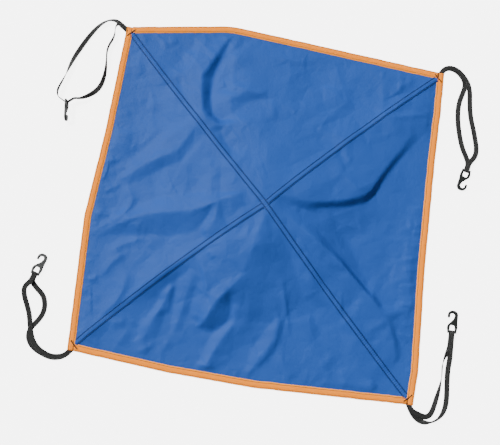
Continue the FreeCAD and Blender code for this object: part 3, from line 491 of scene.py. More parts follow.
def room_inside(px, py):
    """Distance to the nearest bound edge."""
    room = np.full(px.shape, 1e9)
    for edge in EDGES:
        room = np.minimum(room, beside(px, py, [(p.x, p.y) for p in EDGES[edge]])[0])
    return room


def noise_field(px, py, size, seed):
    """Smooth bumps of one size, the same each time."""
    values = [noise.noise(Vector((x / size, y / size, seed))) for x, y in zip(px.ravel(), py.ravel())]
    return np.array(values).reshape(px.shape)


def edge_gathers(px, py, lay):
    """Small gathers that run in from the binding."""
    total = np.zeros(px.shape)
    rng = random.Random(11)
    for edge, first, last, strength, slant in GATHERS:
        places, ways = walk(EDGES[edge], 6.5 * MM)
        count = len(places) - 1
        for place, way in list(zip(places, ways))[round(first * count):round(last * count) + 1]:
            inward = -left_of(way)
            start = place + inward * 9 * MM + way * rng.uniform(-4, 4) * MM
            end = start + (inward + way * (slant + rng.uniform(-0.4, 0.4))) * rng.uniform(10, 30) * MM
            near = np.hypot(px - start.x, py - start.y) < 0.07
            line = [(start.x / MM, start.y / MM), (end.x / MM, end.y / MM)]
            total[near] += crease(px[near], py[near], line, rng.uniform(0.15, 0.8) * strength * lay.pucker,
                                  rng.uniform(1.8, 5), rng.uniform(1.8, 5))
    return total


def blurred(field, passes):
    """A grid of heights, softened as many times as asked."""
    for _ in range(passes):
        field = np.pad(field, 1, mode="edge")
        field = 0.25 * field[:-2] + 0.5 * field[1:-1] + 0.25 * field[2:]
        field = 0.25 * field[:, :-2] + 0.5 * field[:, 1:-1] + 0.25 * field[:, 2:]
    return field


def bent_sheet(px, py):
    """Height of a sheet that lies nearly flat between the lines it bends along."""
    spacing, rim_step, rim_width = 7, 12 * MM, 13 * MM
    nodes = []
    for line in BENDS:
        for a, b in zip(line, line[1:] or line):
            steps = max(1, round(math.dist(a[:2], b[:2]) / spacing))
            nodes += [Vector(a).lerp(Vector(b), i / steps) * MM for i in range(steps)]
        nodes.append(Vector(line[-1]) * MM)
    for edge in EDGES:
        places, ways = walk(EDGES[edge], rim_step)
        nodes += [p - left_of(w) * rim_width for p, w in zip(places, ways)][1:-1]
        nodes += places[:-1]
    return facets(px, py, nodes)


def crumple(px, py, size, height, heading, seed):
    """Random facets of about one width, three times as long along a heading."""
    rng = random.Random(seed)
    cos, sin = math.cos(math.radians(heading)), math.sin(math.radians(heading))
    span, long = 0.8, 3 * size
    nodes = []
    for i in range(int(span / long)):
        for j in range(int(span / size)):
            along = -span / 2 + long * (i + rng.uniform(-0.5, 0.5))
            aside = -span / 2 + size * (j + rng.uniform(-0.4, 0.4))
            nodes.append(Vector((along * cos - aside * sin, along * sin + aside * cos,
                                 height * rng.uniform(-1, 1))))
    return facets(px, py, nodes)


def facets(px, py, nodes):
    """Heights of flat triangles between scattered points."""
    found = geometry.delaunay_2d_cdt([n.to_2d() for n in nodes], [], [], 0, 1e-5)
    spots, triangles, origins = found[0], found[2], found[3]
    level = [nodes[origin[0]].z for origin in origins]
    field = np.zeros(px.shape)
    for i, j, k in triangles:
        a, b, c = spots[i], spots[j], spots[k]
        area = (b.x - a.x) * (c.y - a.y) - (c.x - a.x) * (b.y - a.y)
        if abs(area) < 1e-12:
            continue
        rows, cols = [slice(*np.searchsorted(axis, [min(ends), max(ends)]) + np.array([-1, 1]))
                      for axis, ends in ((py[:, 0], (a.y, b.y, c.y)), (px[0], (a.x, b.x, c.x)))]
        x, y = px[rows, cols], py[rows, cols]
        u = ((b.x - x) * (c.y - y) - (c.x - x) * (b.y - y)) / area
        v = ((c.x - x) * (a.y - y) - (a.x - x) * (c.y - y)) / area
        inside = (u >= -1e-9) & (v >= -1e-9) & (u + v <= 1 + 1e-9)
        height = level[i] * u + level[j] * v + level[k] * (1 - u - v)
        field[rows, cols] = np.where(inside, height, field[rows, cols])
    return field


MAP_X, MAP_Y = (-0.262, 0.264), (-0.282, 0.272)   # where the cloth's heights are worked out
FLAT_RIM, RISE_RUN = 9 * MM, 12 * MM              # flat beside the binding, and the width over which it rises
SEAM_RIDGE, RIDGE_WIDTH = 0.5 * MM, 8 * MM        # the cloth stands a little higher along its seams


class ClothMap:
    """Heights of the slack cloth over an even grid, worked out once."""

    def __init__(self, lay):
        self.step = lay.map_step
        self.xs = np.arange(*MAP_X, self.step)
        self.ys = np.arange(*MAP_Y, self.step)
        px, py = np.meshgrid(self.xs, self.ys)
        sheet = bent_sheet(px, py)
        sharp = max(1, round((lay.crest / self.step) ** 2 * 2))
        sheet = lay.rise * (0.8 * blurred(sheet, sharp) + 0.2 * blurred(sheet, sharp * 6))
        for points, height, left, right in WRINKLES:
            sheet += crease(px, py, points, height * lay.wrinkle, left, right)
        sheet += 0.8 * MM * noise_field(px, py, 42 * MM, 3.1) * lay.wrinkle
        patchy = 0.45 + 0.55 * smooth(0.5 + 1.6 * noise_field(px, py, 70 * MM, 9.4))
        for size, height, heading, seed in CRUMPLES:
            sheet += crumple(px, py, size * MM, height * MM, heading, seed) * patchy * lay.wrinkle
        room = room_inside(px, py)
        sheet = sheet * smooth((room - FLAT_RIM) / RISE_RUN)
        sheet += edge_gathers(px, py, lay) * smooth((room - 8 * MM) / (4 * MM))
        for corner in CORNERS:
            line = [seam_plan(corner, i / 12, 0.0) for i in range(13)]
            gap, _, share = beside(px, py, [(p.x, p.y) for p in line])
            sheet += SEAM_RIDGE * np.exp(-(gap / RIDGE_WIDTH) ** 2) * smooth((1 - share) / 0.08) * smooth(share / 0.04)
        self.field = CLOTH_LEVEL + 0.5 * (sheet + np.sqrt(sheet ** 2 + (0.4 * MM) ** 2))

    def at(self, px, py):
        """Heights at some places, evened out between the points of the grid."""
        u = np.clip((px - self.xs[0]) / self.step, 0, len(self.xs) - 1.001)
        v = np.clip((py - self.ys[0]) / self.step, 0, len(self.ys) - 1.001)
        i, j = v.astype(int), u.astype(int)
        v, u = v - i, u - j
        near, far = [self.field[k, j] * (1 - u) + self.field[k, j + 1] * u for k in (i, i + 1)]
        return near * (1 - v) + far * v


LAID = {}


def heights_at(places, lay):
    """Heights of the cloth at some places."""
    if "map" not in LAID:
        LAID["map"] = ClothMap(lay)
    px = np.array([p.x for p in places])
    py = np.array([p.y for p in places])
    return LAID["map"].at(px, py)


# ---------------------------------------------------------------- meshes
def placed(name, data):
    """A new object in the scene."""
    made = bpy.data.objects.new(name, data)
    bpy.context.scene.collection.objects.link(made)
    return made


def aimed(way):
    """The rotation of a lamp or camera that looks along a direction."""
    return way.to_track_quat("-Z", "Y").to_euler()


def add_piece(name, points, faces, material, body="root", uv=None):
    """One visible piece, from its points and faces."""
    mesh = bpy.data.meshes.new(name)
    mesh.from_pydata([tuple(p) for p in points], [], faces)
    mesh.update()
    if uv is not None:
        layer = mesh.uv_layers.new(name="UVMap")
        flat = [value for loop in mesh.loops for value in uv[loop.vertex_index]]
        layer.data.foreach_set("uv", flat)
    mesh.shade_smooth()
    mesh.materials.append(material)
    piece = placed(name, mesh)
    if body:
        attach(piece, body)
    return piece


def joined(rows):
    """The points of all rows in one list."""
    return [point for row in rows for point in row]


def grid_faces(rows, columns, closed=False, capped=False):
    """Faces of a grid of rows; closed joins the last column to the first one."""
    faces = []
    around = columns if closed else columns - 1
    for i in range(rows - 1):
        for j in range(around):
            k = (j + 1) % columns
            faces.append((i * columns + j, i * columns + k, (i + 1) * columns + k, (i + 1) * columns + j))
    if capped:
        faces.append(tuple(reversed(range(columns))))
        faces.append(tuple((rows - 1) * columns + j for j in range(columns)))
    return faces


def strip_uv(rows, across):
    """Metres along and across a strip, for each of its points."""
    uv, walked, last = [], 0.0, None
    for row in rows:
        middle = sum(row, Vector()) / len(row)
        walked += (middle - last).length if last else 0.0
        last = middle
        uv += [(walked, value) for value in across]
    return uv


# ---------------------------------------------------------------- settings
class PanelLay(bpy.types.PropertyGroup):
    """How the slack cloth lies."""
    map_step: FloatProperty(name="Map step", description="Spacing of the grid of heights",
                            default=1.15 * MM, min=0.0005, unit="LENGTH")
    rise: FloatProperty(name="Rise", description="Share of the bends' heights", default=1.18, min=0,
                        subtype="FACTOR")
    crest: FloatProperty(name="Crest", description="How round the cloth's bends are",
                         default=1.8 * MM, min=0.0005, unit="LENGTH")
    wrinkle: FloatProperty(name="Wrinkles", description="Share of the thin wrinkles", default=1.0,
                           min=0, subtype="FACTOR")
    pucker: FloatProperty(name="Edge gathers", description="How strongly the binding gathers the cloth",
                          default=1.0, min=0, subtype="FACTOR")
    grid: IntProperty(name="Grid", description="Faces along the bound edge of each panel", default=340)


class PanelColours(bpy.types.PropertyGroup):
    """Colours of the panel's materials."""
    cloth: FloatVectorProperty(name="Cloth", description="Taffeta", subtype="COLOR", size=3,
                               min=0, max=1, default=(0.018, 0.082, 0.36))
    tape: FloatVectorProperty(name="Tape", description="Binding tape", subtype="COLOR", size=3,
                              min=0, max=1, default=(1.0, 0.28, 0.004))
    seam_thread: FloatVectorProperty(name="Seam thread", description="Thread of the diagonal seams",
                                     subtype="COLOR", size=3, min=0, max=1, default=(0.008, 0.025, 0.09))
    tape_thread: FloatVectorProperty(name="Tape thread", description="Thread of the bound edges",
                                     subtype="COLOR", size=3, min=0, max=1, default=(0.16, 0.045, 0.012))
    elastic: FloatVectorProperty(name="Elastic", description="Flat woven elastic", subtype="COLOR",
                                 size=3, min=0, max=1, default=(0.0115, 0.012, 0.0115))
    plastic: FloatVectorProperty(name="Plastic", description="Moulded hooks", subtype="COLOR",
                                 size=3, min=0, max=1, default=(0.010, 0.012, 0.011))


class PanelSizes(bpy.types.PropertyGroup):
    """Widths and spacings of the trim."""
    tape_width: FloatProperty(name="Tape width", description="Folded binding seen from above",
                              default=10.3 * MM, min=0.004, unit="LENGTH")
    seam_width: FloatProperty(name="Seam width", description="Felled diagonal seam",
                              default=9.0 * MM, min=0.004, unit="LENGTH")
    seam_rows: FloatProperty(name="Seam stitch rows", description="Between the two rows of a seam",
                             default=6.2 * MM, min=0.002, unit="LENGTH")
    tape_rows: FloatProperty(name="Tape stitch rows", description="Between the two rows of a tape",
                             default=6.4 * MM, min=0.002, unit="LENGTH")
    stitch: FloatProperty(name="Stitch length", description="From one stitch to the next",
                          default=3.1 * MM, min=0.001, unit="LENGTH")
    thread: FloatProperty(name="Thread", description="Thickness of the sewing thread",
                          default=0.42 * MM, min=0.0001, unit="LENGTH")
    elastic_width: FloatProperty(name="Elastic width", description="Width of the flat elastic",
                                 default=7.5 * MM, min=0.002, unit="LENGTH")
    elastic_thickness: FloatProperty(name="Elastic thickness", description="Thickness of the elastic",
                                     default=0.8 * MM, min=0.0002, unit="LENGTH")
    elastic_length: FloatProperty(name="Elastic length", description="Free length of each corner's elastic",
                                  default=352 * MM, min=0.1, unit="LENGTH")


# ---------------------------------------------------------------- finishes
def cloth_finish(name, base):
    """Fine taffeta, softly uneven."""
    f = Finish(name)
    place = f.place()
    soft = f.clouds(place, 60 * MM, 4)
    fine = f.clouds(place, 0.9 * MM, 2)
    x, y, _ = f.parts(place)
    weave = f.ribs(x, 0.55 * MM) * f.ribs(y, 0.55 * MM)
    tint = f.mix(soft, colour(base, 0.90), colour(base, 1.10))
    f.set(base_color=f.mix(fine * 0.5, tint, colour(base, 0.8)))
    crinkle = f.clouds(place, 9 * MM, 5, 0.6)
    f.bump(crinkle + fine * 0.06 + weave * 0.03, 0.7 * MM)
    f.set(roughness=0.46 + 0.12 * soft, specular_ior_level=0.12)
    return f.material


def seam_finish(name, base, row):
    """Felled cloth, with painted shade in the grooves that its two rows of stitches pull."""
    f = Finish(name)
    place = f.place()
    along, across, _ = f.parts(f.place("UV"))
    soft = f.clouds(place, 40 * MM, 4)
    # painted shade: the seam's base colour is darkened to 0.16 in a band along each row of stitches
    stitch_groove_shade = (abs(abs(across) - row) * (1 / (1.3 * MM))).maths("MINIMUM", 1.0)
    tint = f.mix(soft, colour(base, 0.86), colour(base, 1.02))
    f.set(base_color=f.mix(stitch_groove_shade, colour(base, 0.16), tint), roughness=0.55, specular_ior_level=0.12)
    gathers = f.clouds(place, 2.6 * MM, 3)
    f.bump(gathers * 0.8 + f.ribs(along, 3.1 * MM) * 0.25, 0.5 * MM)
    return f.material


def tape_finish(name, base, thread, row):
    """Ribbed tape with a painted highlight at both rims, painted shade beside its two rows of stitches and a painted
    orange glow.
    """
    f = Finish(name)
    along, across, _ = f.parts(f.place("UV"))
    place = f.place()
    ribs = f.ribs(along, 1.1 * MM)
    worn = f.clouds(place, 5 * MM, 3)
    middle = 5.15 * MM
    edge = abs(across - middle) * (1 / middle)
    # painted highlight: a lighter, yellower orange is mixed in towards both rims
    rim_highlight = edge.maths("SMOOTH_MIN", 1.0, 0.2)
    tint = f.mix(worn, colour(base, 0.85), colour(base, 1.08))
    light = (min(1.0, base[0] * 1.15), base[1] * 1.7, base[2] * 12.0, 1.0)
    # painted shade: thread colour laid in a band along each row of stitches, partly the thread's own colour and partly
    # shade of the groove it pulls
    stitch_groove_shade = (abs(edge * middle - row) * (1 / (0.8 * MM))).maths("MINIMUM", 1.0)
    tint = f.mix(rim_highlight * rim_highlight * rim_highlight * rim_highlight * 0.8, tint, light)
    # painted glow: a faint orange emission makes the tape glow, though it is no lamp
    f.set(base_color=f.mix(stitch_groove_shade, colour(thread, 1.6), tint), roughness=0.7, specular_ior_level=0.15,
          emission_color=(1.0, 0.2, 0.0, 1.0), emission_strength=0.3)
    f.bump(ribs * 0.5 + worn * 0.6, 0.22 * MM)
    return f.material


def thread_finish(name, base):
    """Twisted sewing thread."""
    f = Finish(name)
    place = f.place()
    twist = f.clouds(place, 0.35 * MM, 2)
    f.set(base_color=f.mix(twist, colour(base, 0.7), colour(base, 1.4)), roughness=0.5)
    f.bump(twist, 0.1 * MM)
    return f.material


def elastic_finish(name, base):
    """Flat elastic, ribbed along its length."""
    f = Finish(name)
    along, across, _ = f.parts(f.place("UV"))
    ribs = f.ribs(across, 0.95 * MM)
    picks = f.ribs(along, 0.7 * MM)
    worn = f.clouds(f.place(), 12 * MM, 3)
    dark = f.mix(worn, colour(base, 0.8), colour(base, 1.6))
    f.set(base_color=f.mix(ribs * 0.22 + 0.22, dark, colour(base, 3.2)), roughness=0.36 + 0.15 * worn,
          specular_ior_level=0.35)
    f.bump(ribs * 0.6 + picks * 0.2, 0.25 * MM)
    return f.material


def plastic_finish(name, base):
    """Moulded plastic with a faint grain."""
    f = Finish(name)
    place = f.place()
    grain = f.clouds(place, 0.8 * MM, 2)
    haze = f.clouds(place, 6 * MM, 3)
    f.set(base_color=f.mix(haze, colour(base, 0.8), colour(base, 1.5)), roughness=0.28 + 0.14 * haze)
    f.bump(grain, 0.05 * MM)
    return f.material


# ---------------------------------------------------------------- operators
class MAKE_OT_cloth(bpy.types.Operator):
    """Make the four triangular cloth panels"""
    bl_idname = "fabric_panel.cloth"
    bl_label = "Cloth panels"

    def execute(self, context):
        scene = context.scene
        lay, sizes = scene.panel_lay, scene.panel_sizes
        material = cloth_finish("blue_taffeta", scene.panel_colours.cloth)
        under = 0.5 * sizes.seam_width - 2.2 * MM
        tip = 0.004
        for edge, (start, end) in EDGE_ENDS.items():
            rim, ways = walk(EDGES[edge], (EDGES[edge][-1] - EDGES[edge][0]).length / lay.grid)
            rim = [p - left_of(w) * 1.6 * MM for p, w in zip(rim, ways)]
            columns = len(rim)
            rows = columns // 2
            full_first, full_last = seam_plan(start, 1.0, -under), seam_plan(end, 1.0, under)
            places = []
            for i in range(rows):
                out = tip + (1 - tip) * i / (rows - 1)
                first, last = seam_plan(start, out, -under), seam_plan(end, out, under)
                for j in range(columns):
                    across = j / (columns - 1)
                    bulge = rim[j] - full_first.lerp(full_last, across)
                    places.append(first.lerp(last, across) + bulge * out)
            heights = heights_at(places, lay)
            points = [Vector((p.x, p.y, z)) for p, z in zip(places, heights)]
            piece = add_piece("panel_" + edge, points, grid_faces(rows, columns), material)
            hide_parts("cloth_panel_" + edge)
        return {"FINISHED"}


def over_seam(corner, shares, asides, lifts, lay):
    """Rows of points over the cloth along one half seam."""
    rows = [[seam_plan(corner, share, aside) for aside in asides] for share in shares]
    heights = iter(heights_at(joined(rows), lay))
    return [[Vector((p.x, p.y, next(heights) + lift)) for p, lift in zip(row, lifts)] for row in rows]


class MAKE_OT_seams(bpy.types.Operator):
    """Make the two felled diagonal seams and their stitches"""
    bl_idname = "fabric_panel.seams"
    bl_label = "Diagonal seams"

    def execute(self, context):
        scene = context.scene
        lay, sizes = scene.panel_lay, scene.panel_sizes
        thread = thread_finish("navy_thread", scene.panel_colours.seam_thread)
        half = 0.5 * sizes.seam_width
        row = 0.5 * sizes.seam_rows
        cloth = seam_finish("seam_taffeta", scene.panel_colours.cloth, row)
        asides = [-half, -half + 0.1 * MM, -half + 0.5 * MM, -row - 0.5 * MM, -row, -row + 0.5 * MM, -1.2 * MM,
                  0.0, 1.2 * MM, row - 0.5 * MM, row, row + 0.5 * MM, half - 0.5 * MM, half - 0.1 * MM, half]
        lifts = [value * MM for value in (0.1, 0.55, 0.75, 0.7, 0.35, 0.6, 0.7, 0.65, 0.7, 0.6, 0.35, 0.7, 0.75,
                                          0.5, 0.1)]
        for name, corners in (("main", ("top_left", "bottom_right")), ("left", ("bottom_left",)),
                              ("right", ("top_right",))):
            rows, runs = [], []
            for k, corner in enumerate(corners):
                run = (CORNERS[corner] - CROSS).length
                stop = 1.0 - 11.0 * MM / run
                begin = 0.0 if len(corners) == 2 else (half - 1.0 * MM) / run
                count = round(run * (stop - begin) / (1.6 * MM))
                shares = [begin + (stop - begin) * i / count for i in range(count + 1)]
                made = over_seam(corner, shares, asides if k == 0 else [-a for a in asides], lifts, lay)
                rows = made if k == 0 else list(reversed(made))[:-1] + rows
                runs.append((corner, begin, stop, run))
            for i, points in enumerate(rows):
                for j, point in enumerate(points):
                    point.z += 0.22 * MM * noise.noise(Vector((i / 2.3, j / 3, 4.0)))
            piece = add_piece("felled_seam_" + name, joined(rows), grid_faces(len(rows), len(asides)), cloth,
                              uv=strip_uv(rows, asides))
            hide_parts("seam_" + name)
            stitches = []
            for corner, begin, stop, run in runs:
                for side in (-1, 1):
                    count = int(run * (stop - begin) / sizes.stitch)
                    shares = [begin + (i + 0.5) * (stop - begin) / count for i in range(count)]
                    middle = over_seam(corner, shares, [side * row], [0.55 * MM], lay)
                    ahead = over_seam(corner, [s + 0.001 for s in shares], [side * row], [0.55 * MM], lay)
                    stitches += [(m[0], (a[0] - m[0]).normalized()) for m, a in zip(middle, ahead)]
            piece = stitch_mesh("seam_stitches_" + name, stitches, 0.80 * sizes.stitch, sizes.thread, thread)
            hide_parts("seam_" + name + "_stitches")
        return {"FINISHED"}


# A bar tack: stitches across it and its length, stitches along it and their length.
TACK_ACROSS, TACK_LENGTH, TACK_ALONG, TACK_CORE = 26, 14.6 * MM, 5, 11.5 * MM

# One stitch: place along it, share of the thread's thickness, rise in thicknesses.
STITCH = [(-0.5, 0.25, -0.5), (-0.34, 0.9, 0.1), (0.0, 1.0, 0.22), (0.34, 0.9, 0.1), (0.5, 0.25, -0.5)]


def stitch_mesh(name, stitches, length, thickness, material):
    """Separate stitches, each a small bowed thread lying along its direction."""
    points, faces = [], []
    rng = random.Random(len(stitches))
    around = 5
    for middle, way in stitches:
        aside = left_of(way)
        up = way.cross(aside).normalized()
        way = (way + aside * rng.uniform(-0.06, 0.06)).normalized()
        base = len(points)
        for along, share, rise in STITCH:
            centre = middle + way * (along * length) + up * (rise * thickness)
            for k in range(around):
                angle = 2 * math.pi * k / around
                outward = aside * math.cos(angle) + up * math.sin(angle)
                points.append(centre + outward * (0.5 * thickness * share))
        for face in grid_faces(len(STITCH), around, closed=True, capped=True):
            faces.append(tuple(base + v for v in face))
    return add_piece(name, points, faces, material)


def binding_rows(edge, sizes):
    """Cross-sections of the folded tape along one edge."""
    points = list(EDGES[edge])
    if edge in ("top", "bottom"):
        inset = sizes.tape_width - 1.2 * MM
        points[0] = points[0] + (points[1] - points[0]).normalized() * inset
        points[-1] = points[-1] - (points[-1] - points[-2]).normalized() * inset
    places, ways = walk(points, 2.0 * MM)
    width = sizes.tape_width
    row = 0.5 * sizes.tape_rows
    middle = 0.5 * width
    profile = [
        (width, 1.30), (width - 0.15 * MM, 1.62), (middle + row + 0.6 * MM, 1.85), (middle + row, 1.62),
        (middle + row - 0.6 * MM, 1.95), (middle + 1.2 * MM, 2.25), (middle - 1.2 * MM, 2.3),
        (middle - row + 0.6 * MM, 2.1), (middle - row, 1.8), (middle - row - 0.6 * MM, 2.05),
        (0.7 * MM, 1.95), (0.15 * MM, 1.6), (0.0, 1.15), (0.15 * MM, 0.6), (0.7 * MM, 0.25),
        (middle, 0.12), (width - 0.3 * MM, 0.3), (width, 0.55),
    ]
    rows = []
    for i, (place, way) in enumerate(zip(places, ways)):
        inward = -left_of(way)
        sway = 0.45 * MM * noise.noise(Vector((i / 9, 2.0, len(edge))))
        sway += 0.2 * MM * noise.noise(Vector((i / 3, 5.0, 1)))
        lift = 0.5 * MM * max(0.0, noise.noise(Vector((i / 12, 8.0, len(edge) * 1.7))))
        section = []
        for j, (aside, z) in enumerate(profile):
            wave = 0.14 * noise.noise(Vector((i / 1.9, j / 2.5, len(edge) + 0.5))) if 0 < j < 12 else 0.0
            section.append(place + inward * (aside + sway + 0.25 * MM) + Vector((0, 0, (z + wave) * MM + lift)))
        rows.append(section)
    return rows, profile


class MAKE_OT_binding(bpy.types.Operator):
    """Make the folded binding tapes, their stitches and the bar tacks"""
    bl_idname = "fabric_panel.binding"
    bl_label = "Bound edges"

    def execute(self, context):
        scene = context.scene
        sizes = scene.panel_sizes
        tape = tape_finish("orange_tape", scene.panel_colours.tape, scene.panel_colours.tape_thread,
                           0.5 * sizes.tape_rows)
        thread = thread_finish("rust_thread", scene.panel_colours.tape_thread)
        black = thread_finish("black_thread", scene.panel_colours.plastic)
        for edge in EDGES:
            rows, profile = binding_rows(edge, sizes)
            uv = strip_uv(rows, [aside for aside, _ in profile])
            piece = add_piece("tape_" + edge, joined(rows), grid_faces(len(rows), len(profile), True, True), tape,
                              uv=uv)
            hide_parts("binding_" + edge)
            stitches = []
            pitch = sizes.stitch * 0.9
            for column in (3, 8):
                line = [row[column] for row in rows]
                walked, goal = 0.0, 1.5 * pitch
                for a, b in zip(line, line[1:]):
                    run = (b - a).length
                    while goal <= walked + run:
                        stitches.append((a.lerp(b, (goal - walked) / run) + Vector((0, 0, 0.12 * MM)),
                                         (b - a).normalized()))
                        goal += pitch
                    walked += run
            piece = stitch_mesh("tape_stitches_" + edge, stitches, 0.78 * pitch, sizes.thread, thread)
            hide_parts("binding_" + edge + "_stitches")
        for corner in CORNERS:
            inward = (CROSS - CORNERS[corner]).normalized()
            middle = CORNERS[corner] + inward * (sizes.tape_width * math.sqrt(2) - 2.35 * MM)
            along = left_of(inward)
            stitches = []
            rng = random.Random(corner)
            for i in range(TACK_ACROSS):
                place = middle + along * ((i / (TACK_ACROSS - 1) - 0.5) * TACK_LENGTH) + Vector((0, 0, 2.75 * MM))
                lean = inward + along * (0.28 if i % 2 else -0.28)
                stitches.append((place + inward * rng.uniform(-0.15, 0.15) * MM, lean.normalized()))
            for i in range(TACK_ALONG):
                place = middle + along * ((i / (TACK_ALONG - 1) - 0.5) * TACK_CORE) + Vector((0, 0, 2.55 * MM))
                stitches += [(place + inward * aside * MM, along) for aside in (0.35, -0.35)]
            piece = stitch_mesh("tack_" + corner, stitches, 2.1 * MM, 0.62 * MM, black)
            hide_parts("bar_tack_" + corner)
        return {"FINISHED"}


# ---------------------------------------------------------------- elastic
def heading_vector(degrees):
    """The level direction of a heading."""
    return Vector((math.cos(math.radians(degrees)), math.sin(math.radians(degrees)), 0))


def exit_place(corner):
    """Where the elastic leaves the binding."""
    return CORNERS[corner] + Vector((*LOOPS[corner]["exit"], 0)) * MM


def strand_points(corner, key, sizes):
    """Control points and rolls of one strand, from its tab to the hook's bar."""
    loop = LOOPS[corner]
    ahead = heading_vector(loop["heading"])

    def level(lift, roll):
        tall = sizes.elastic_width * math.sin(math.radians(roll))
        flat = sizes.elastic_thickness * abs(math.cos(math.radians(roll)))
        return GROUND_GAP + 0.5 * (tall + flat) + lift * MM

    start = exit_place(corner) + ahead * TAB_START
    start.z = level(STACKED if key == "second" else 0.0, 0)
    route = [(start, 0), (start + ahead * TAB_LEAD, 0)]
    for x, y, *rest in loop[key]:
        lift, roll = (*rest, 0, 0)[:2]
        route.append((exit_place(corner) + Vector((x * MM, y * MM, level(lift, roll))), roll))
    side = 1 if key == loop["over"] else -1
    angle = math.radians(90 - (UPRIGHT_SPREAD if loop["upright"] else 0))
    forward = heading_vector(loop["hook_heading"])
    aside = left_of(forward) if loop["upright"] else Vector((0, 0, 1))
    bar = exit_place(corner) + Vector(loop["bar"]) * MM
    away = forward * -math.sin(angle) + aside * (side * math.cos(angle))
    foot = (forward * math.cos(angle) + aside * (side * math.sin(angle))) * BIGHT_RADIUS
    roll = 90 if loop["upright"] else 0
    leg = bar + foot + away * BIGHT_LEG
    route.append((leg + away * BIGHT_LEAD, roll))
    route.append((leg, roll))
    turn = bar + foot - away * (BIGHT_RADIUS * math.tan(angle / 2))
    return route, turn


def across_vector(before, after, roll):
    """Direction of the elastic's width where it travels from one point to another."""
    way = (after - before).normalized()
    level = left_of(way)
    raised = way.cross(level)
    return level * math.cos(math.radians(roll)) + raised * math.sin(math.radians(roll))


def loop_line(corner, sizes):
    """Control points of the whole loop and the direction of its width at each of them."""
    points, widths = [], []
    for key in ("first", "second"):
        route, turn = strand_points(corner, key, sizes)
        own = [place for place, _ in route]
        wide = [across_vector(own[max(i - 1, 0)], own[min(i + 1, len(own) - 1)], route[i][1])
                for i in range(len(own))]
        own.append(turn)
        wide.append(wide[-1])
        if key == "first":
            points, widths = own, wide
        else:
            points += list(reversed(own))
            widths += list(reversed(wide))
    return points, widths


def spline_points(name, points):
    """Places along the NURBS line through a route's points."""
    curve = bpy.data.curves.new(name, "CURVE")
    curve.dimensions = "3D"
    curve.resolution_u = 12
    spline = curve.splines.new("NURBS")
    spline.points.add(len(points) - 1)
    for point, place in zip(spline.points, points):
        point.co = (*place, 1.0)
    spline.order_u = 3
    spline.use_endpoint_u = True
    holder = placed(name, curve)
    mesh = bpy.data.meshes.new_from_object(holder.evaluated_get(bpy.context.evaluated_depsgraph_get()))
    places = [v.co.copy() for v in mesh.vertices]
    bpy.data.objects.remove(holder)
    bpy.data.meshes.remove(mesh)
    return places


class MAKE_OT_elastic(bpy.types.Operator):
    """Make the elastic loops and their sewn ends"""
    bl_idname = "fabric_panel.elastic"
    bl_label = "Elastic loops"

    def execute(self, context):
        scene = context.scene
        sizes = scene.panel_sizes
        material = elastic_finish("black_elastic", scene.panel_colours.elastic)
        half, thin = 0.5 * sizes.elastic_width, 0.5 * sizes.elastic_thickness
        top = [(share * half, thin) for share in (-0.95, -0.5, 0.0, 0.5, 0.95)]
        profile = [(-half, 0.0), *top, (half, 0.0), *[(a, -b) for a, b in reversed(top)]]
        for corner in CORNERS:
            points, widths = loop_line(corner, sizes)
            places = spline_points("route_" + corner, points)
            spans = len(points) - 2
            knots = [0.0] + [i + 0.5 for i in range(spans)] + [float(spans)]
            rows = []
            for i, place in enumerate(places):
                along = spans * i / (len(places) - 1)
                way = (places[min(i + 1, len(places) - 1)] - places[max(i - 1, 0)]).normalized()
                k = max(j for j in range(len(knots) - 1) if knots[j] <= along)
                share = (along - knots[k]) / (knots[k + 1] - knots[k])
                wide = widths[k].lerp(widths[k + 1], share)
                wide = (wide - way * wide.dot(way)).normalized()
                up = way.cross(wide)
                section = [place + wide * a + up * b for a, b in profile]
                sunk = max(0.0, GROUND_GAP - min(p.z for p in section))
                rows.append([p + Vector((0, 0, sunk)) for p in section])
            uv = strip_uv(rows, [a + half + (0.0 if j < 7 else 2 * half) for j, (a, _) in enumerate(profile)])
            faces = grid_faces(len(rows), len(profile), True, True)
            piece = add_piece("elastic_loop_" + corner, joined(rows), faces, material, body=None, uv=uv)
            start, end = places[0], max(places, key=lambda p: (p - places[0]).length)
            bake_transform(piece)
            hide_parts("elastic_strands_" + corner, "elastic_bight_" + corner)
            ahead = heading_vector(LOOPS[corner]["heading"])
            wide = left_of(ahead)
            flat, faces, uv = [], [], []
            for sewn, free in ((0.88 * MM, 0.45 * MM), (1.62 * MM, 1.6 * MM)):
                rows = []
                for along in (-8.0, -4.0, 0.0, 1.8, 3.2, 3.8):
                    centre = exit_place(corner) + ahead * (along * MM)
                    centre.z = sewn if along < 1 else 0.5 * sewn + 0.5 * free
                    rows.append([centre + wide * a + Vector((0, 0, 0.85 * b)) for a, b in profile])
                base = len(flat)
                faces += [tuple(base + v for v in face)
                          for face in grid_faces(len(rows), len(profile), True, True)]
                flat += joined(rows)
                uv += strip_uv(rows, [a + half for a, _ in profile])
            piece = add_piece("elastic_end_" + corner, flat, faces, material, uv=uv)
            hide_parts("elastic_tab_" + corner)
        return {"FINISHED"}


class MAKE_OT_hooks(bpy.types.Operator):
    """Give the moulded hooks their plastic"""
    bl_idname = "fabric_panel.hooks"
    bl_label = "Hooks"

    def execute(self, context):
        material = plastic_finish("black_plastic", context.scene.panel_colours.plastic)
        for corner in CORNERS:
            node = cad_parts["hook_" + corner]
            for slot in node.material_slots:
                slot.material = material
        return {"FINISHED"}


# Lamps: name, where it stands, softness in degrees, strength.
LAMPS = [("key", (-0.80, 0.45, 1.02), 9, 5.0), ("back", (-0.2, 1.0, 1.0), 40, 0.5)]
FLOOR_HALF, FLOOR_LEVEL = 6.0, -0.0005
FLOOR_GLOW, SKY_LIGHT, SKY_SEEN = 11.0, 0.24, 3.0


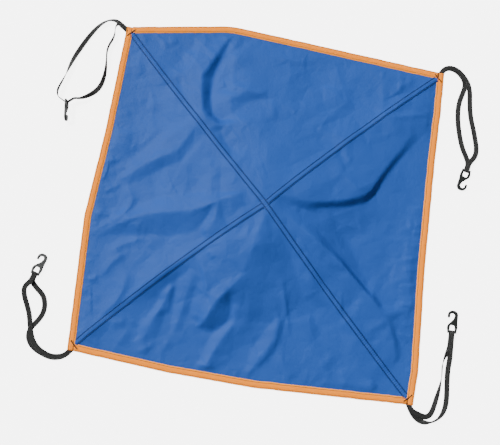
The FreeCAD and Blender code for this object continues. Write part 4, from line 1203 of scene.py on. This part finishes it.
class MAKE_OT_stage(bpy.types.Operator):
    """Make the floor, the lights and the camera"""
    bl_idname = "fabric_panel.stage"
    bl_label = "Floor, lights and camera"

    def execute(self, context):
        scene = context.scene
        f = Finish("pale_floor")
        speckle = f.clouds(f.place(), 0.4, 3)
        f.set(base_color=f.mix(speckle, (0.93, 0.93, 0.935, 1.0), (0.95, 0.95, 0.95, 1.0)), roughness=0.9)
        mesh = bpy.data.meshes.new("floor")
        mesh.from_pydata([(x * FLOOR_HALF, y * FLOOR_HALF, FLOOR_LEVEL)
                          for x, y in ((-1, -1), (1, -1), (1, 1), (-1, 1))], [], [(0, 1, 2, 3)])
        mesh.materials.append(f.material)
        floor = placed("floor", mesh)
        shown = f.node("ShaderNodeLightPath", {}, {}, "Is Camera Ray")
        white = (1.0, 1.0, 1.0, 1.0)
        glow = f.node("ShaderNodeEmission", {}, {"Color": white, "Strength": FLOOR_GLOW})
        lit = Wire(f, f.shader.outputs[0])
        f.surface(f.node("ShaderNodeMixShader", {}, {0: shown * 0.5, 1: lit, 2: glow}))
        world = bpy.data.worlds.new("studio")
        world.use_nodes = True
        sky = Finish("sky", world.node_tree)
        shown = sky.node("ShaderNodeLightPath", {}, {}, "Is Camera Ray")
        soft, bright = [sky.node("ShaderNodeBackground", {}, {"Color": white, "Strength": strength})
                        for strength in (SKY_LIGHT, SKY_SEEN)]
        sky.surface(sky.node("ShaderNodeMixShader", {}, {0: shown, 1: soft, 2: bright}), "World Output")
        scene.world = world
        for name, place, softness, power in LAMPS:
            data = bpy.data.lights.new(name, "SUN")
            data.angle = math.radians(softness)
            data.energy = power
            light = placed(name, data)
            light.location = place
            light.rotation_euler = aimed(-Vector(place))
        azimuth, elevation, distance = math.radians(8.3), math.radians(80), 1.085
        target = Vector((-12.0, -31.05, 0)) * MM
        away = Vector((math.sin(azimuth) * math.cos(elevation), -math.cos(azimuth) * math.cos(elevation),
                       math.sin(elevation)))
        data = bpy.data.cameras.new("camera")
        data.lens = 54.5
        data.sensor_width = 36
        camera = placed("camera", data)
        camera.location = target + away * distance
        camera.rotation_euler = aimed(-away)
        scene.camera = camera
        return {"FINISHED"}


class VIEW3D_PT_fabric_panel(bpy.types.Panel):
    """Lists the panel's settings and pieces"""
    bl_idname = "VIEW3D_PT_fabric_panel"
    bl_label = "Fabric panel"
    bl_space_type = "VIEW_3D"
    bl_region_type = "UI"
    bl_category = "Fabric panel"

    def draw(self, context):
        scene = context.scene
        for group in (scene.panel_lay, scene.panel_sizes, scene.panel_colours):
            for name in group.__annotations__:
                self.layout.prop(group, name)
        for operator in OPERATORS:
            self.layout.operator(operator.bl_idname)


OPERATORS = (MAKE_OT_stage, MAKE_OT_elastic, MAKE_OT_hooks, MAKE_OT_cloth, MAKE_OT_seams, MAKE_OT_binding)
GROUPS = {"panel_lay": PanelLay, "panel_sizes": PanelSizes, "panel_colours": PanelColours}


def register():
    for cls in (*GROUPS.values(), *OPERATORS, VIEW3D_PT_fabric_panel):
        bpy.utils.register_class(cls)
    for name, cls in GROUPS.items():
        setattr(bpy.types.Scene, name, PointerProperty(type=cls))


def unregister():
    for name in GROUPS:
        delattr(bpy.types.Scene, name)
    for cls in reversed((*GROUPS.values(), *OPERATORS, VIEW3D_PT_fabric_panel)):
        bpy.utils.unregister_class(cls)


def main():
    register()
    for operator in OPERATORS:
        group, name = operator.bl_idname.split(".")
        getattr(getattr(bpy.ops, group), name)()


if __name__ == "__main__":
    main()
